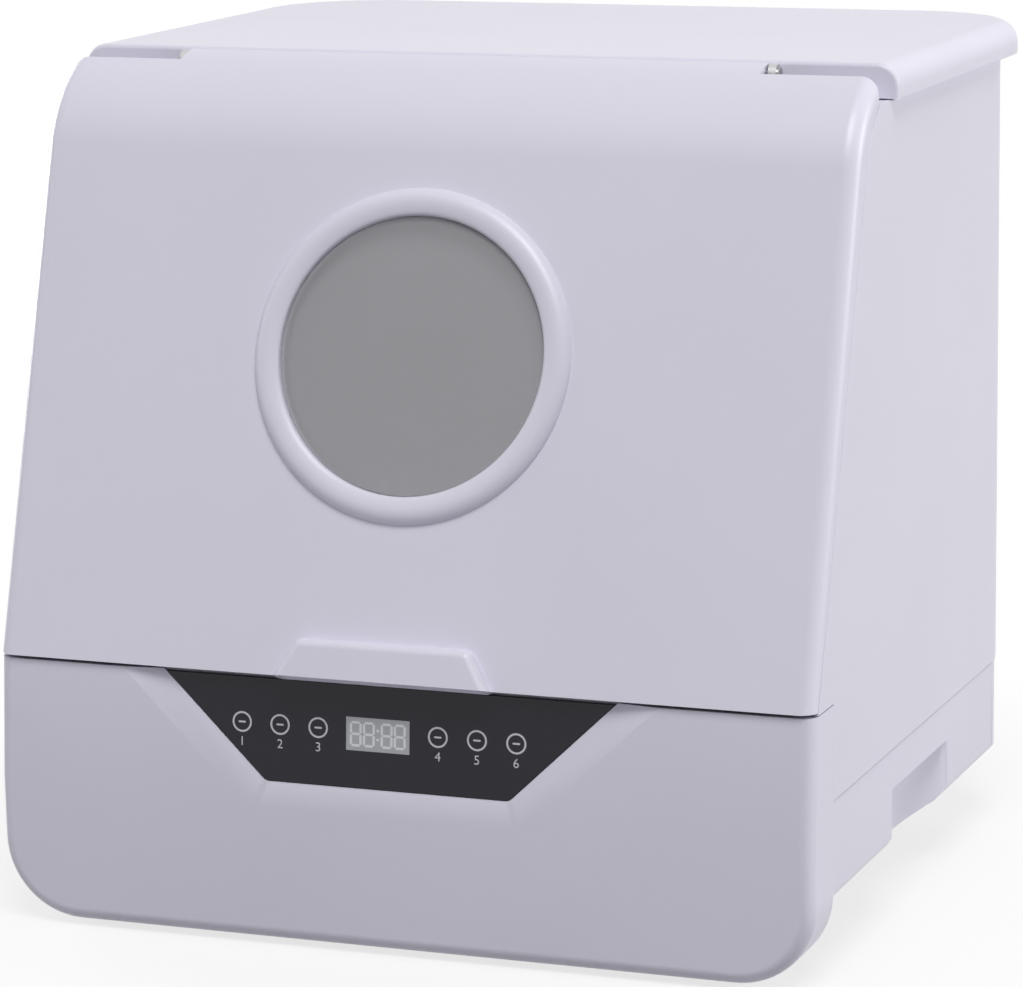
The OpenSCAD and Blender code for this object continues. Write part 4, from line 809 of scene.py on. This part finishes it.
def lamp(name, offset, size, power, colour=(1, 1, 1)):
    """A round softbox at an offset from the object's middle, aimed at it."""
    light = bpy.data.lights.new(name, "AREA")
    light.shape = "DISK"
    light.size = size
    light.energy = power
    light.color = colour
    stand = bpy.data.objects.new(name, light)
    bpy.context.scene.collection.objects.link(stand)
    place = MIDDLE + Vector(offset)
    stand.location = place
    stand.rotation_euler = (place - MIDDLE).to_track_quat("Z", "Y").to_euler()


def studio():
    """Four softboxes and a dim room, which rays from the camera and in gloss see as white."""
    lamp("key_softbox", (1.1, -2.1, 3.75), 2.2, 118)
    lamp("side_softbox", (3.2, 1.05, 0.9), 1.6, 44)
    lamp("left_softbox", (-3.2, -1.2, 1.0), 1.6, 10, (0.97, 0.975, 1.0))
    lamp("back_softbox", (-2.9, 1.9, 0.45), 1.4, 46)
    world = bpy.data.worlds.new("studio")
    bpy.context.scene.world = world
    world.use_nodes = True
    tree = world.node_tree
    path = tree.nodes.new("ShaderNodeLightPath")
    seen = path.outputs["Is Camera Ray"]
    for ray in ("Is Glossy Ray", "Is Transmission Ray"):
        either = tree.nodes.new("ShaderNodeMath")
        either.operation = "MAXIMUM"
        tree.links.new(seen, either.inputs[0])
        tree.links.new(path.outputs[ray], either.inputs[1])
        seen = either.outputs[0]
    room = tree.nodes["Background"]
    room.inputs["Color"].default_value = (0.95, 0.96, 1.0, 1)
    room.inputs["Strength"].default_value = 0.22
    paper = tree.nodes.new("ShaderNodeBackground")
    paper.inputs["Color"].default_value = (1, 1, 1, 1)
    paper.inputs["Strength"].default_value = 1.0
    mix = tree.nodes.new("ShaderNodeMixShader")
    tree.links.new(seen, mix.inputs["Fac"])
    tree.links.new(room.outputs[0], mix.inputs[1])
    tree.links.new(paper.outputs[0], mix.inputs[2])
    tree.links.new(mix.outputs[0], tree.nodes["World Output"].inputs["Surface"])


def floor():
    """Pale paper that fades into the white backdrop away from the object."""
    bpy.ops.object.select_all(action="DESELECT")
    bpy.ops.mesh.primitive_plane_add(size=24, location=(0, 0, 0))
    ground = bpy.context.object
    ground.name = "studio_floor"
    paper = Finish("floor_paper", Roughness=0.9)
    seen = paper.add("LightPath", {}, {}, "Is Camera Ray")
    for ray in ("Is Glossy Ray", "Is Transmission Ray"):
        seen = seen.maths("MAXIMUM", seen, paper.add("LightPath", {}, {}, ray))
    paper.colour(paper.tones(seen, (0.36, 0.36, 0.37), (0.93, 0.93, 0.935)))
    spot = paper.add("TexCoord", {}, {}, "Object")
    far = paper.add("VectorMath", {"operation": "LENGTH"}, {0: spot}, 1)
    fade = paper.add("MapRange", {"interpolation_type": "SMOOTHSTEP"}, {
        "Value": far, "From Min": 0.24, "From Max": 0.5, "To Min": 0.74, "To Max": 1.0,
    })
    tree = paper.tree
    glow = tree.nodes.new("ShaderNodeEmission")
    glow.inputs["Color"].default_value = (1, 1, 1, 1)
    mix = tree.nodes.new("ShaderNodeMixShader")
    tree.links.new((fade * seen).socket, mix.inputs["Fac"])
    tree.links.new(paper.shader.outputs[0], mix.inputs[1])
    tree.links.new(glow.outputs[0], mix.inputs[2])
    tree.links.new(mix.outputs[0], tree.nodes["Material Output"].inputs["Surface"])
    ground.data.materials.append(paper.material)


camera()
studio()
floor()
bpy.context.scene.view_settings.view_transform = "Standard"
